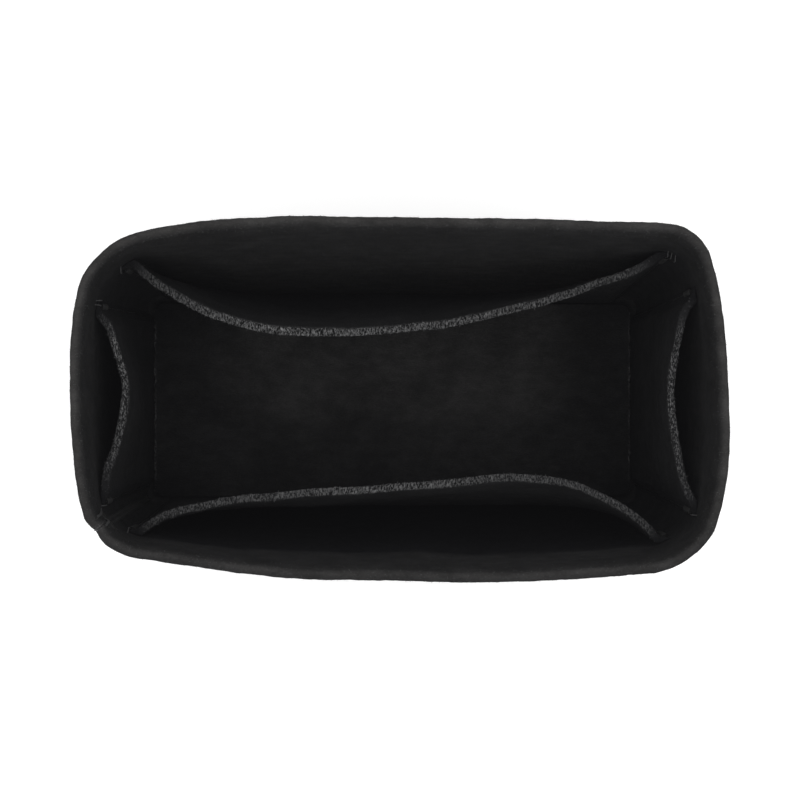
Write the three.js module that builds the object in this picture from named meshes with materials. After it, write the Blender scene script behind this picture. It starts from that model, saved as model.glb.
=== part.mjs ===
// A soft felt organizer that stands inside a handbag: a folded wall strip round a stiffened floor,
// with four open pockets sewn against the inside of the wall.
// Millimetres. +X runs to the right, +Y to the back, +Z up. The origin is under the middle of the base.

import * as THREE from "three";

// Clearances between pieces that touch
const seatGap = 0.3;
const floorEndGap = 1;

// Wall strip: one length of felt folded double over the rim and wrapped round the base
const rimLength = 221;
const rimWidth = 123.2;
const baseLength = 218;
const baseWidth = 96;
const fullHeight = 120;
const legFelt = 1.65;
const foldSlit = 0.3;
const rimEndBow = 10.6;
const rimSideBow = 4.7;
const frontLeftRimRadius = 12.7;
const frontRightRimRadius = 15;
const backRightRimRadius = 8;
const backLeftRimRadius = 19.2;
const baseCornerRadius = 8;
const endBowPower = 2.8;
const sideBowPower = 2.4;

// Butt seam where the two ends of the strip meet, at the front left corner
const seamGap = 0.5;
const seamTurnShare = 0.26;
const seamDrawDepth = 5.6;
const seamDrawPower = 3;
const seamTuckDepth = 1.2;
const seamDipDepth = 1;
const seamDipPower = 8;
const seamReach = 7;
const seamTackDrop = 12;
const seamTackLength = 8;

// Base: outer felt, stiffening board and the floor felt that lies on it
const baseFelt = 2.8;
const boardThickness = 1.2;
const floorFelt = 2.8;
const floorCornerRadius = 5;
const feltEdgeRound = 0.7;
const boardEdgeRound = 0.2;

// Pockets: a felt panel each, sewn along its bottom and both sides, with a cut edge for a lip
const pocketFelt = 2.8;
const pressedFelt = 1.4;
const sideMargin = 5;
const marginTaper = 1.5;
const pocketFootSetback = 12;
const lipRound = 0.5;
const bulgeRise = 1.25;
const longPocketDrop = 23;
const endPocketDrop = 16;
const backBulge = 25.4;
const frontBulge = 21.1;
const leftBulge = 8.2;
const rightBulge = 8;

// Bar tacks: dense stitching that holds each upper corner of a pocket to the wall
const tackLength = 8;
const tackWidth = 2.2;
const tackThickness = 0.8;
const tackDrop = 7;

// How finely curves are divided
const cornerSteps = 8;
const longSideSteps = 18;
const shortSideSteps = 10;
const wallLevels = 5;
const foldSteps = 6;
const lipSteps = 28;
const panelLevels = 5;
const edgeSteps = 2;
const tackEndSteps = 3;
const tackSides = 10;

const wallThickness = 2 * legFelt + foldSlit;
const wallFoot = baseFelt + seatGap;
const boardFoot = baseFelt + seatGap;
const floorFoot = boardFoot + boardThickness + seatGap;
const floorTop = floorFoot + floorFelt;
const longPocketHeight = fullHeight - longPocketDrop;
const endPocketHeight = fullHeight - endPocketDrop;

const wallColour = 0x1d1c1d;
const pocketColour = 0x2a2a2b;
const floorColour = 0x19191b;
const baseColour = 0x1a1a1c;
const boardColour = 0x4a4540;
const threadColour = 0x3c3c3e;

function matt(color, roughness) {
  return new THREE.MeshStandardMaterial({ color, roughness, metalness: 0 });
}

const wallMaterial = matt(wallColour, 0.95);
const pocketMaterial = matt(pocketColour, 0.95);
const floorMaterial = matt(floorColour, 0.95);
const baseMaterial = matt(baseColour, 0.95);
const boardMaterial = matt(boardColour, 0.8);
const threadMaterial = matt(threadColour, 0.6);

const lerp = THREE.MathUtils.lerp;

// The corners in the order that the strip passes them, from the seam and counter-clockwise from above
const corners = [
  { side: -1, depth: -1, start: Math.PI, rimRadius: frontLeftRimRadius },
  { side: 1, depth: -1, start: 1.5 * Math.PI, rimRadius: frontRightRimRadius },
  { side: 1, depth: 1, start: 0, rimRadius: backRightRimRadius },
  { side: -1, depth: 1, start: 0.5 * Math.PI, rimRadius: backLeftRimRadius },
];

// A corner's arc on a rounded rectangle, from one share of its quarter turn to another
function cornerArc(corner, halfLength, halfWidth, radius, from, to) {
  const steps = Math.round(cornerSteps * (to - from));
  const arc = [];
  for (let i = 0; i <= steps; i++) {
    const angle = corner.start + (Math.PI / 2) * lerp(from, to, i / steps);
    arc.push(new THREE.Vector2(
      corner.side * (halfLength - radius) + radius * Math.cos(angle),
      corner.depth * (halfWidth - radius) + radius * Math.sin(angle),
    ));
  }
  return arc;
}

// The points strictly between the last point of one arc and the first of the next
function sideRun(from, to, steps) {
  const run = [];
  for (let i = 1; i < steps; i++) {
    run.push(from.clone().lerp(to, i / steps));
  }
  return run;
}

// Half the length and half the width of the wall at its corners, before its sides bow out
function halfLengthAt(height) {
  return lerp(baseLength / 2, rimLength / 2 - rimEndBow, height / fullHeight);
}

function halfWidthAt(height) {
  return lerp(baseWidth / 2, rimWidth / 2 - rimSideBow, height / fullHeight);
}

// The strip's outer face at a height, as points with outward normals. The base is a plain rounded
// rectangle; towards the rim the sides and ends bow out, and the front is drawn in near the seam.
function wallLevel(height) {
  const rise = height / fullHeight;
  const halfLength = halfLengthAt(height);
  const halfWidth = halfWidthAt(height);
  const arcs = corners.map((corner, i) => {
    const radius = lerp(baseCornerRadius, corner.rimRadius, rise);
    return cornerArc(corner, halfLength, halfWidth, radius, i === 0 ? seamTurnShare : 0, 1);
  });
  const seamRadius = lerp(baseCornerRadius, frontLeftRimRadius, rise);
  const lastArc = cornerArc(corners[0], halfLength, halfWidth, seamRadius, 0, seamTurnShare);
  const points = [];
  arcs.forEach((arc, i) => {
    const next = arcs[i + 1] ?? lastArc;
    const steps = i % 2 === 0 ? longSideSteps : shortSideSteps;
    points.push(...arc, ...sideRun(arc.at(-1), next[0], steps));
  });
  points.push(...lastArc);
  const bowed = points.map((p) => {
    const along = p.x / halfLength;
    const across = p.y / halfWidth;
    const end = rimEndBow * rise * (1 - Math.abs(across) ** endBowPower) * along;
    const side = rimSideBow * rise * (1 - Math.abs(along) ** sideBowPower) * across;
    const near = Math.max(0, -across) * ((1 - along) / 2) ** seamDrawPower;
    return new THREE.Vector2(p.x + end, p.y + side + seamDrawDepth * rise * near);
  });
  return partSeam(withNormals(bowed), rise);
}

// Adds each point's outward normal, from its neighbours on the closed outline
function withNormals(points) {
  const count = points.length;
  return points.map((p, i) => {
    const before = points[(i === 0 ? count - 1 : i) - 1];
    const after = points[(i === count - 1 ? 0 : i) + 1];
    const along = after.clone().sub(before).normalize();
    return { point: p, normal: new THREE.Vector2(along.y, -along.x), along };
  });
}

// Draws the two ends of the strip apart by the seam's gap and tucks them in a little at the rim
function partSeam(level, rise) {
  const first = level[0].point.clone();
  const lastIndex = level.length - 1;
  return level.map(({ point, normal, along }, i) => {
    const near = Math.max(0, 1 - point.distanceTo(first) / seamReach);
    const moved = point.clone().addScaledVector(normal, -seamTuckDepth * rise * near * near);
    if (i === 0 || i === lastIndex) {
      moved.addScaledVector(along, i === 0 ? seamGap / 2 : -seamGap / 2);
    }
    return { point: moved, normal, nearSeam: near };
  });
}

function inset({ point, normal }, distance) {
  return point.clone().addScaledVector(normal, -distance);
}

// A closed solid through a row of sections. Each section is a ring of points in the same order, whose
// first half runs along one face and whose second half runs back along the other, so that each end is
// closed by joining the two faces point for point.
function loft(sections) {
  const ring = sections[0].length;
  const index = [];
  for (let s = 0; s < sections.length - 1; s++) {
    for (let i = 0; i < ring; i++) {
      const a = s * ring + i;
      const b = s * ring + ((i + 1) % ring);
      index.push(a, a + ring, b + ring, a, b + ring, b);
    }
  }
  const end = (sections.length - 1) * ring;
  for (let i = 0; i < ring / 2 - 1; i++) {
    const [a, b, c, d] = [i, i + 1, ring - 2 - i, ring - 1 - i];
    index.push(a, b, c, a, c, d);
    index.push(end + a, end + c, end + b, end + a, end + d, end + c);
  }
  const geometry = new THREE.BufferGeometry().setFromPoints(sections.flat());
  geometry.setIndex(index);
  geometry.computeVertexNormals();
  return geometry;
}

// The strip's section as inset and height: up the outer leg, over the fold and down the inner leg, and
// back round the slit between the legs
function foldedProfile() {
  const foldRadius = wallThickness / 2;
  const foldFoot = fullHeight - foldRadius;
  const face = (radius) => {
    const line = [];
    for (let i = 0; i < wallLevels; i++) {
      line.push(new THREE.Vector2(foldRadius - radius, lerp(wallFoot, foldFoot, i / (wallLevels - 1))));
    }
    const down = line.map(({ x, y }) => new THREE.Vector2(x + 2 * radius, y)).reverse();
    for (let i = 1; i < foldSteps; i++) {
      const angle = (Math.PI * i) / foldSteps;
      const across = foldRadius - radius * Math.cos(angle);
      line.push(new THREE.Vector2(across, foldFoot + radius * Math.sin(angle)));
    }
    return [...line, ...down];
  };
  return [...face(foldRadius), ...face(foldSlit / 2).reverse()];
}

function makeWall() {
  const profile = foldedProfile();
  const levels = new Map();
  profile.forEach(({ y }) => levels.set(y, levels.get(y) ?? wallLevel(y)));
  const stations = levels.get(profile[0].y).length;
  const sections = [];
  for (let s = 0; s < stations; s++) {
    sections.push(profile.map(({ x, y }) => {
      const place = levels.get(y)[s];
      const { x: px, y: py } = inset(place, x);
      const dip = seamDipDepth * (y / fullHeight) ** seamDipPower * place.nearSeam ** 2;
      return new THREE.Vector3(px, py, y - dip);
    }));
  }
  return loft(sections);
}

// A flat slab with a rounded rectangular outline and softened edges
function slab(length, width, radius, thickness, edgeRound) {
  const outline = corners.flatMap((corner) => cornerArc(corner, length / 2, width / 2, radius, 0, 1));
  const geometry = new THREE.ExtrudeGeometry(new THREE.Shape(outline), {
    depth: thickness - 2 * edgeRound,
    bevelThickness: edgeRound,
    bevelSize: edgeRound,
    bevelOffset: -edgeRound,
    bevelSegments: edgeSteps,
  });
  return geometry.translate(0, 0, edgeRound);
}

// The four sides that carry a pocket: which way each faces, which way it runs, and half its length at
// a height, before the wall bows out
const lengthwise = new THREE.Vector2(1, 0);
const crosswise = new THREE.Vector2(0, 1);
const sides = {
  back: { out: crosswise, run: lengthwise, halfAt: halfLengthAt },
  front: { out: crosswise.clone().negate(), run: lengthwise, halfAt: halfLengthAt },
  left: { out: lengthwise.clone().negate(), run: crosswise, halfAt: halfWidthAt },
  right: { out: lengthwise, run: crosswise, halfAt: halfWidthAt },
};

// Where the wall at a height, drawn in by a distance, crosses a place along one side
function onWall(side, height, along, distance) {
  const points = wallLevel(height).map((place) => inset(place, distance));
  for (let i = 0; i < points.length; i++) {
    const a = points[i];
    const b = points[(i + 1) % points.length];
    const from = a.dot(side.run);
    const to = b.dot(side.run);
    if (a.dot(side.out) > 0 && from !== to && (from - along) * (to - along) <= 0) {
      return a.clone().lerp(b, (along - from) / (to - from));
    }
  }
  throw new Error("the wall does not pass " + along + " along this side");
}

// Each pocket: how far its lip stands off the line between its ends, where the lip leaves the wall, as
// shares of half the side's length there, and the lip's shape as shares of that line and of the bulge
const pockets = [
  {
    name: "back",
    height: longPocketHeight,
    bulge: backBulge,
    endShares: [-0.912, 0.91],
    lipShares: [
      [0.05, 0.32], [0.11, 0.6], [0.18, 0.83], [0.31, 1],
      [0.45, 1], [0.6, 0.89], [0.77, 0.61], [0.9, 0.32],
    ],
  },
  {
    name: "front",
    height: longPocketHeight,
    bulge: frontBulge,
    endShares: [-0.892, 0.905],
    lipShares: [
      [0.05, 0.29], [0.11, 0.46], [0.25, 0.64], [0.45, 0.77],
      [0.61, 0.91], [0.74, 1], [0.87, 0.81], [0.94, 0.48],
    ],
  },
  {
    name: "left",
    height: endPocketHeight,
    bulge: leftBulge,
    endShares: [-0.575, 0.523],
    lipShares: [[0.08, 0.09], [0.28, 0.6], [0.53, 1], [0.67, 0.9], [0.9, 0.4]],
  },
  {
    name: "right",
    height: endPocketHeight,
    bulge: rightBulge,
    endShares: [-0.645, 0.625],
    lipShares: [[0.15, 0.51], [0.28, 0.72], [0.5, 1], [0.69, 0.89], [0.93, 0.43]],
  },
];

// The lip as a smooth line: share along it, and depth in from the wall
function lipCurve({ bulge, lipShares }) {
  const inner = lipShares.map(([share, depthShare]) => new THREE.Vector2(share, bulge * depthShare));
  return new THREE.SplineCurve([new THREE.Vector2(0, 0), ...inner, new THREE.Vector2(1, 0)]);
}

// How far along its side a pocket's panel leaves the wall at a height, at its first or second end
function pocketEnd(pocket, end, height) {
  const { halfAt } = sides[pocket.name];
  const direction = end === 0 ? -1 : 1;
  const foot = direction * (halfAt(wallFoot) - wallThickness - pocketFootSetback);
  const lip = pocket.endShares[end] * halfAt(pocket.height);
  return lerp(foot, lip, (height - wallFoot) / (pocket.height - wallFoot));
}

// The middle line of a pocket's panel at a height, with the panel's thickness at each point. The side
// margins are pressed flat against the wall, and between them the panel stands off into the room.
function panelLevel(pocket, height) {
  const side = sides[pocket.name];
  const from = pocketEnd(pocket, 0, height);
  const to = pocketEnd(pocket, 1, height);
  const lean = Math.max(0, (height - floorTop) / (pocket.height - floorTop)) ** bulgeRise;
  const seat = wallThickness + seatGap;
  const full = seat + pocketFelt / 2;
  const start = onWall(side, height, from, full);
  const end = onWall(side, height, to, full);
  const curve = lipCurve(pocket);
  const line = [];
  const margins = [sideMargin, (sideMargin + marginTaper) / 2, marginTaper];
  const margin = (place) => {
    const point = onWall(side, height, place, seat + pressedFelt / 2);
    return { point, thickness: pressedFelt };
  };
  margins.forEach((reach) => line.push(margin(from - reach)));
  for (let i = 0; i <= lipSteps; i++) {
    const { x, y } = curve.getPoint(i / lipSteps);
    const point = start.clone().lerp(end, x).addScaledVector(side.out, -y * lean);
    line.push({ point, thickness: pocketFelt });
  }
  margins.toReversed().forEach((reach) => line.push(margin(to + reach)));
  return line.map(({ point, thickness }, i) => {
    const before = line[Math.max(i - 1, 0)].point;
    const after = line[Math.min(i + 1, line.length - 1)].point;
    const along = after.clone().sub(before).normalize();
    const facing = new THREE.Vector2(along.y, -along.x);
    if (facing.dot(side.out) < 0) {
      facing.negate();
    }
    return { point, thickness, facing };
  });
}

// A panel's section as a share of half the thickness, and a height: up the face towards the wall,
// over the cut lip, and down the face towards the room
function panelProfile(height) {
  const shoulder = height - lipRound;
  const heights = [wallFoot];
  for (let i = 0; i < panelLevels; i++) {
    heights.push(lerp(floorTop, shoulder, i / (panelLevels - 1)));
  }
  const crown = 1 - (2 * lipRound) / pocketFelt;
  const up = (x) => heights.map((z) => new THREE.Vector2(x, z));
  const lip = [new THREE.Vector2(crown, height), new THREE.Vector2(-crown, height)];
  return [...up(1), ...lip, ...up(-1).reverse()];
}

function makePanel(pocket) {
  const profile = panelProfile(pocket.height);
  const levels = profile.map(({ y }) => panelLevel(pocket, y));
  const sections = levels[0].map((_, s) => profile.map(({ x, y }, i) => {
    const { point, thickness, facing } = levels[i][s];
    const place = point.clone().addScaledVector(facing, (x * thickness) / 2);
    return new THREE.Vector3(place.x, place.y, y);
  }));
  const runsWithStrip = pocket.name === "front" || pocket.name === "right";
  return loft(runsWithStrip ? sections : sections.reverse());
}

// A bar of satin stitching: a rod flattened on the face that it is sewn to, standing along its own Y
function tackGeometry(length) {
  const radius = tackWidth / 2;
  const bar = new THREE.CapsuleGeometry(radius, length - tackWidth, tackEndSteps, tackSides);
  return bar.scale(1, 1, tackThickness / tackWidth);
}

function makeTack(name, length, middle, up, facing) {
  const across = new THREE.Vector3().crossVectors(up, facing).normalize();
  const squareFacing = new THREE.Vector3().crossVectors(across, up).normalize();
  const mesh = new THREE.Mesh(tackGeometry(length), threadMaterial);
  mesh.name = name;
  mesh.quaternion.setFromRotationMatrix(new THREE.Matrix4().makeBasis(across, up, squareFacing));
  mesh.position.copy(middle);
  return mesh;
}

// The tack at one upper corner of a pocket, standing up the wall in the middle of the pressed margin
function pocketTack(pocket, end) {
  const side = sides[pocket.name];
  const direction = end === 0 ? -1 : 1;
  const distance = wallThickness + seatGap + pressedFelt + seatGap + tackThickness / 2;
  const at = (height, shift = 0) => {
    const place = pocketEnd(pocket, end, height) + (direction * (sideMargin + marginTaper)) / 2 + shift;
    const { x, y } = onWall(side, height, place, distance);
    return new THREE.Vector3(x, y, height);
  };
  const middle = pocket.height - tackDrop;
  const up = at(middle + tackLength / 2).sub(at(middle - tackLength / 2)).normalize();
  const beside = at(middle, tackWidth / 2).sub(at(middle, -tackWidth / 2));
  const facing = new THREE.Vector3().crossVectors(beside, up).normalize();
  const ends = side.run === lengthwise ? ["left", "right"] : ["front", "back"];
  return makeTack(pocket.name + "_pocket_tack_" + ends[end], tackLength, at(middle), up, facing);
}

// The tack that closes the strip's butt seam on the inside, just under the rim
function seamTack() {
  const height = fullHeight - seamTackDrop;
  const distance = wallThickness + seatGap + tackThickness / 2;
  const level = wallLevel(height);
  const first = inset(level[0], distance);
  const last = inset(level.at(-1), distance);
  const middle = new THREE.Vector3((first.x + last.x) / 2, (first.y + last.y) / 2, height);
  const across = new THREE.Vector3(first.x - last.x, first.y - last.y, 0).normalize();
  const facing = new THREE.Vector3(-level[0].normal.x, -level[0].normal.y, 0);
  return makeTack("corner_seam_tack", seamTackLength, middle, across, facing);
}

function named(name, geometry, material, height = 0) {
  const mesh = new THREE.Mesh(geometry, material);
  mesh.name = name;
  mesh.position.z = height;
  return mesh;
}

const floorLength = baseLength - 2 * (wallThickness + seatGap + pocketFelt + floorEndGap);
const floorWidth = baseWidth - 2 * (wallThickness + seatGap + pocketFelt + seatGap);

const undersideGeometry = slab(baseLength, baseWidth, baseCornerRadius, baseFelt, feltEdgeRound);
const boardGeometry = slab(floorLength, floorWidth, floorCornerRadius, boardThickness, boardEdgeRound);
const floorGeometry = slab(floorLength, floorWidth, floorCornerRadius, floorFelt, feltEdgeRound);

const base = new THREE.Group();
base.add(
  named("base_underside", undersideGeometry, baseMaterial),
  named("base_board", boardGeometry, boardMaterial, boardFoot),
  named("floor_panel", floorGeometry, floorMaterial, floorFoot),
);

const wall = new THREE.Group();
wall.add(named("wall_strip", makeWall(), wallMaterial), seamTack());

const organizer = new THREE.Group();
organizer.add(base, wall);
pockets.forEach((pocket) => {
  const group = new THREE.Group();
  group.add(named(pocket.name + "_pocket", makePanel(pocket), pocketMaterial));
  group.add(pocketTack(pocket, 0), pocketTack(pocket, 1));
  organizer.add(group);
});

export default organizer;
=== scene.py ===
"""A soft felt organizer that stands inside a handbag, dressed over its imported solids.

Each sub-assembly is a class: the folded wall strip, the base with its floor, and the four pockets.
Lengths are in millimetres until a mesh is made. +X runs to the right, +Y to the back and +Z up.
"""

import logging
import math
from collections.abc import Mapping, Sequence
from dataclasses import dataclass, replace
from enum import Enum
from functools import lru_cache
from typing import Any

import bpy
import numpy as np
from mathutils import Matrix, Vector

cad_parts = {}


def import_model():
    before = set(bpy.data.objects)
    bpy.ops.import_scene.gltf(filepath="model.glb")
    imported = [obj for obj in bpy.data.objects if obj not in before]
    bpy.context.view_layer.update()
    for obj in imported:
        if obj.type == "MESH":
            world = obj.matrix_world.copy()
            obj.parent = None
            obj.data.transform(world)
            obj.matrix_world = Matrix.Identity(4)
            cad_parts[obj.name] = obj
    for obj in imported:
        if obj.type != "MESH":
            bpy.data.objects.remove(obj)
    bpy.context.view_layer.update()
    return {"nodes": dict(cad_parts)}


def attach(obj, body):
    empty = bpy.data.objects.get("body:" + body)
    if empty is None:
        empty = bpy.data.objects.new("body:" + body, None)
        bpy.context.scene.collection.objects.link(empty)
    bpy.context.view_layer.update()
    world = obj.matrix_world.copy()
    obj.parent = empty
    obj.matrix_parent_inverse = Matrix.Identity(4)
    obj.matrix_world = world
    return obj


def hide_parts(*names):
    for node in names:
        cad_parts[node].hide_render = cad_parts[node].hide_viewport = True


MM = 0.001
IMAGE_SIDE = 800
# Marks on the mesh: pale cut edges, wear with painted light, and painted shade.
MARKS = ("cut", "worn", "shade")
HANDS = (-1, 1)
WAVES = 16
WAVE_LENGTH_SHARES = (0.7, 1.6)
NOISE_ROUGHNESS = 0.6

Array = np.ndarray
Triple = tuple[float, float, float]
Pairs = tuple[tuple[float, float], ...]
Values = Mapping[str | int, Any]

log = logging.getLogger("organizer")


def lerp(start: float | Array, end: float | Array, share: float | Array) -> float | Array:
    """Return the value that lies a share of the way from start to end."""
    return start + (end - start) * share


def unit(vectors: Array) -> Array:
    """Return the vectors, one a row, each at length one."""
    return vectors / np.maximum(np.linalg.norm(vectors, axis=-1, keepdims=True), 1e-9)


def smooth_step(low: float | Array, high: float | Array, values: float | Array) -> float | Array:
    """Return 0 at low and before it, 1 at high and past it, and a smooth rise between them."""
    share = np.clip((values - low) / (high - low), 0, 1)
    return share * share * (3 - 2 * share)


def bell(values: Array) -> Array:
    """Return 1 at zero and a smooth fall to nothing on both sides."""
    return np.exp(-(values**2))


def read_pairs(pairs: Pairs, places: Array) -> Array:
    """Return the value at each place, in straight lines through pairs of a place and its value."""
    return np.interp(places, *np.array(pairs, float).T)


def ease_pairs(pairs: Pairs, places: Array) -> Array:
    """Rise and fall smoothly through pairs of a place and its value, level at each.

    Args:
        pairs: the pairs, in order.
        places: the places to read.

    Returns:
        The value at each place.
    """
    knots, values = np.array(pairs, float).T
    index = np.clip(np.searchsorted(knots, places, side="right") - 1, 0, len(knots) - 2)
    return lerp(values[index], values[index + 1], smooth_step(knots[index], knots[index + 1], places))


def smooth_curve(knots: Array, places: Array) -> Array:
    """Pass a smooth curve through knots that lie evenly along it.

    Args:
        knots: the knots, one a row.
        places: how far along the curve, from 0 to 1.

    Returns:
        The curve at each place, one a row.
    """
    where = places * (len(knots) - 1)
    index = np.minimum(where.astype(int), len(knots) - 2)
    t = (where - index)[:, None]
    a, b = knots[np.maximum(index - 1, 0)], knots[index]
    c, d = knots[index + 1], knots[np.minimum(index + 2, len(knots) - 1)]
    start, end = (c - a) / 2, (d - b) / 2
    return (2 * b - 2 * c + start + end) * t**3 + (3 * c - 3 * b - 2 * start - end) * t**2 + start * t + b


def run_along(points: Array) -> Array:
    """Return how far along a line each of its points lies."""
    return np.concatenate([[0], np.cumsum(np.linalg.norm(np.diff(points, axis=0), axis=1))])


def line_lengths(grid: Array, axis: int = 0) -> Array:
    """Return the length of each line that runs one way over a grid of points."""
    return np.linalg.norm(np.diff(grid, axis=axis), axis=-1).sum(axis=axis)


def pass_at(place: float, run: Array, points: Array) -> Array:
    """Return where a line passes a place, given how far along its own points lie."""
    return np.array([np.interp(place, run, points[:, axis]) for axis in (0, 1)])


def raised(plan: Array, height: float) -> Array:
    """Return places in plan, one a row, with a height beside each."""
    return np.column_stack([plan, np.full(len(plan), height)])


def uneven(points: Array, sizes: Pairs, seed: int) -> Array:
    """Make the small waves that run every way over felt, which is never quite even.

    Args:
        points: places, with three numbers in the last axis.
        sizes: the length and the height of each set of waves.
        seed: the seed of the first set, from which the others count on.

    Returns:
        How far the surface stands off at each place.
    """
    total = np.zeros(points.shape[:-1])
    for i, (length, height) in enumerate(sizes):
        draw = np.random.default_rng(seed + i)
        ways = unit(draw.normal(size=(WAVES, 3)))
        lengths = length * draw.uniform(*WAVE_LENGTH_SHARES, WAVES)
        phases = draw.uniform(0, 2 * math.pi, WAVES)
        angles = points @ (ways * (2 * math.pi / lengths)[:, None]).T + phases
        total += height * math.sqrt(2 / WAVES) * np.sin(angles).sum(axis=-1)
    return total


def tube_faces(rings: int, sides: int) -> list[list[int]]:
    """Return the faces round a row of rings, with both ends open."""
    starts = [(r * sides + s, r * sides + (s + 1) % sides) for r in range(rings - 1) for s in range(sides)]
    return [[a, a + sides, b + sides, b] for a, b in starts]


def loft_faces(sections: int, ring: int) -> list[list[int]]:
    """Face a row of rings, each of which runs out along one face and back along the other.

    Args:
        sections: how many rings there are.
        ring: how many points each has.

    Returns:
        Faces over the rings, with both ends closed by joining the two faces point for point.
    """
    faces = tube_faces(sections, ring)
    end = (sections - 1) * ring
    for i in range(ring // 2 - 1):
        faces.append([i, i + 1, ring - 2 - i, ring - 1 - i])
        faces.append([end + j for j in (i, ring - 1 - i, ring - 2 - i, i + 1)])
    return faces


def add_object(name: str, data: bpy.types.ID) -> bpy.types.Object:
    """Put a mesh, a lamp or a camera into the scene.

    Args:
        name: the object's name.
        data: what it holds.

    Returns:
        The new object.
    """
    made = bpy.data.objects.new(name, data)
    bpy.context.scene.collection.objects.link(made)
    return made


class Body:
    """Points and faces that grow, piece by piece, into one mesh."""

    def __init__(self) -> None:
        """Start with no points and no faces."""
        self.points: list[Array] = []
        self.faces: list[list[int]] = []
        self.marks: dict[str, list[Array]] = {mark: [] for mark in MARKS}
        self.count = 0

    def add(self, points: Array, faces: Sequence[Sequence[int]], **marks: Array | float) -> "Body":
        """Add a closed piece.

        Args:
            points: its points, one a row.
            faces: its faces, as the numbers of its own points.
            marks: numbers from 0 to 1 for the finish, one for each point or one for all.

        Returns:
            This body.
        """
        self.points.append(points)
        self.faces.extend([[self.count + i for i in face] for face in faces])
        for mark in MARKS:
            self.marks[mark].append(np.ones(len(points)) * marks.get(mark, 0.0))
        self.count += len(points)
        return self

    def loft(self, grid: Array, **marks: Array) -> "Body":
        """Add a closed piece from its rings of points and marks laid out alike, and return this body."""
        flat = {mark: values.reshape(-1) for mark, values in marks.items()}
        return self.add(grid.reshape(-1, 3), loft_faces(*grid.shape[:2]), **flat)

    def build(self, name: str, finish: bpy.types.Material, sharp: float | None = None) -> bpy.types.Object:
        """Make the mesh and its object.

        Args:
            name: the object's name.
            finish: the material that covers it.
            sharp: the angle in degrees past which an edge stays sharp, or None for no such edge.

        Returns:
            The new object, in the scene.
        """
        mesh = bpy.data.meshes.new(name)
        mesh.from_pydata((np.concatenate(self.points) * MM).tolist(), [], self.faces)
        for mark, values in self.marks.items():
            mesh.attributes.new(mark, "FLOAT", "POINT").data.foreach_set("value", np.concatenate(values))
        mesh.polygons.foreach_set("use_smooth", [True] * len(mesh.polygons))
        if sharp is not None:
            mesh.set_sharp_from_angle(angle=math.radians(sharp))
        mesh.materials.append(finish)
        log.info("%s: %d points, %d faces", name, len(mesh.vertices), len(mesh.polygons))
        return add_object(name, mesh)


def dress(piece: bpy.types.Object, slot: str, *nodes: str) -> bpy.types.Object:
    """Seat a piece on the organizer.

    Args:
        piece: the piece.
        slot: the record's material slot for its finish; not used.
        nodes: the solids that it stands for.

    Returns:
        The piece.
    """
    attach(piece, "root")
    if nodes:
        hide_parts(*nodes)
    return piece


@dataclass(frozen=True)
class Nap:
    """Loose curled fibres that stand off a felt surface."""

    shortest: float = 0.5
    longest: float = 1.4
    radius: float = 0.032
    lean: float = 0.9
    curl: float = 0.45
    taper: float = 0.5
    tip_share: float = 0.9
    root_depth: float = 0.15
    rings: int = 3
    sides: int = 3
    shade_power: float = 1.0

    def scatter(self, grid: Array, count: int, draw: np.random.Generator) -> tuple[Array, Array]:
        """Pick places at random.

        Args:
            grid: points on the felt's surface, in rows and columns.
            count: how many places to pick.
            draw: where the random numbers come from.

        Returns:
            The places, and the way that the surface faces at each.
        """
        rows, columns = grid.shape[0] - 1, grid.shape[1] - 1
        row, column = draw.integers(0, rows, count), draw.integers(0, columns, count)
        across, down = draw.random(count)[:, None], draw.random(count)[:, None]
        near, beside = grid[row, column], grid[row, column + 1]
        below, far = grid[row + 1, column], grid[row + 1, column + 1]
        places = lerp(lerp(near, beside, across), lerp(below, far, across), down)
        return places, unit(np.cross(below - near, beside - near))

    def grow(self, patches: Sequence[tuple[Array, int]], seed: int) -> Body:
        """Grow fibres on some patches.

        Args:
            patches: the grid of points of each patch, with its number of fibres.
            seed: the seed of the random numbers.

        Returns:
            The fibres, each a thin closed cone that bends over.
        """
        draw = np.random.default_rng(seed)
        body = Body()
        angles = [2 * math.pi * s / self.sides for s in range(self.sides)]
        for grid, count in patches:
            roots, normals = self.scatter(grid, count, draw)
            lengths = draw.uniform(self.shortest, self.longest, count)[:, None]
            ways = unit(normals + self.lean * unit(draw.normal(size=(count, 3))))
            curls = unit(np.cross(ways, draw.normal(size=(count, 3))))
            beside = unit(np.cross(ways, curls))
            rings = []
            for share in (r / self.rings for r in range(self.rings)):
                middle = roots + ways * (lengths * share - self.root_depth)
                middle = middle + curls * lengths * (self.curl * share**2)
                reach = self.radius * (1 - self.taper * share)
                rings += [middle + reach * (math.cos(a) * curls + math.sin(a) * beside) for a in angles]
            tip = roots + ways * lengths * self.tip_share + curls * lengths * self.curl
            shades = draw.random(count) ** self.shade_power
            for fibre, shade in zip(np.stack([*rings, tip], axis=1), shades):
                body.add(fibre, self._faces(), shade=shade)
        return body

    @lru_cache(maxsize=None)
    def _faces(self) -> tuple[tuple[int, ...], ...]:
        """Face one fibre.

        Returns:
            Its root, its sides and its tip.
        """
        last, tip = (self.rings - 1) * self.sides, self.rings * self.sides
        sides = [(a, b, above_b, above_a) for a, above_a, above_b, b in tube_faces(self.rings, self.sides)]
        tips = [(last + s, last + (s + 1) % self.sides, tip) for s in range(self.sides)]
        return (tuple(reversed(range(self.sides))), *sides, *tips)


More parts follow.
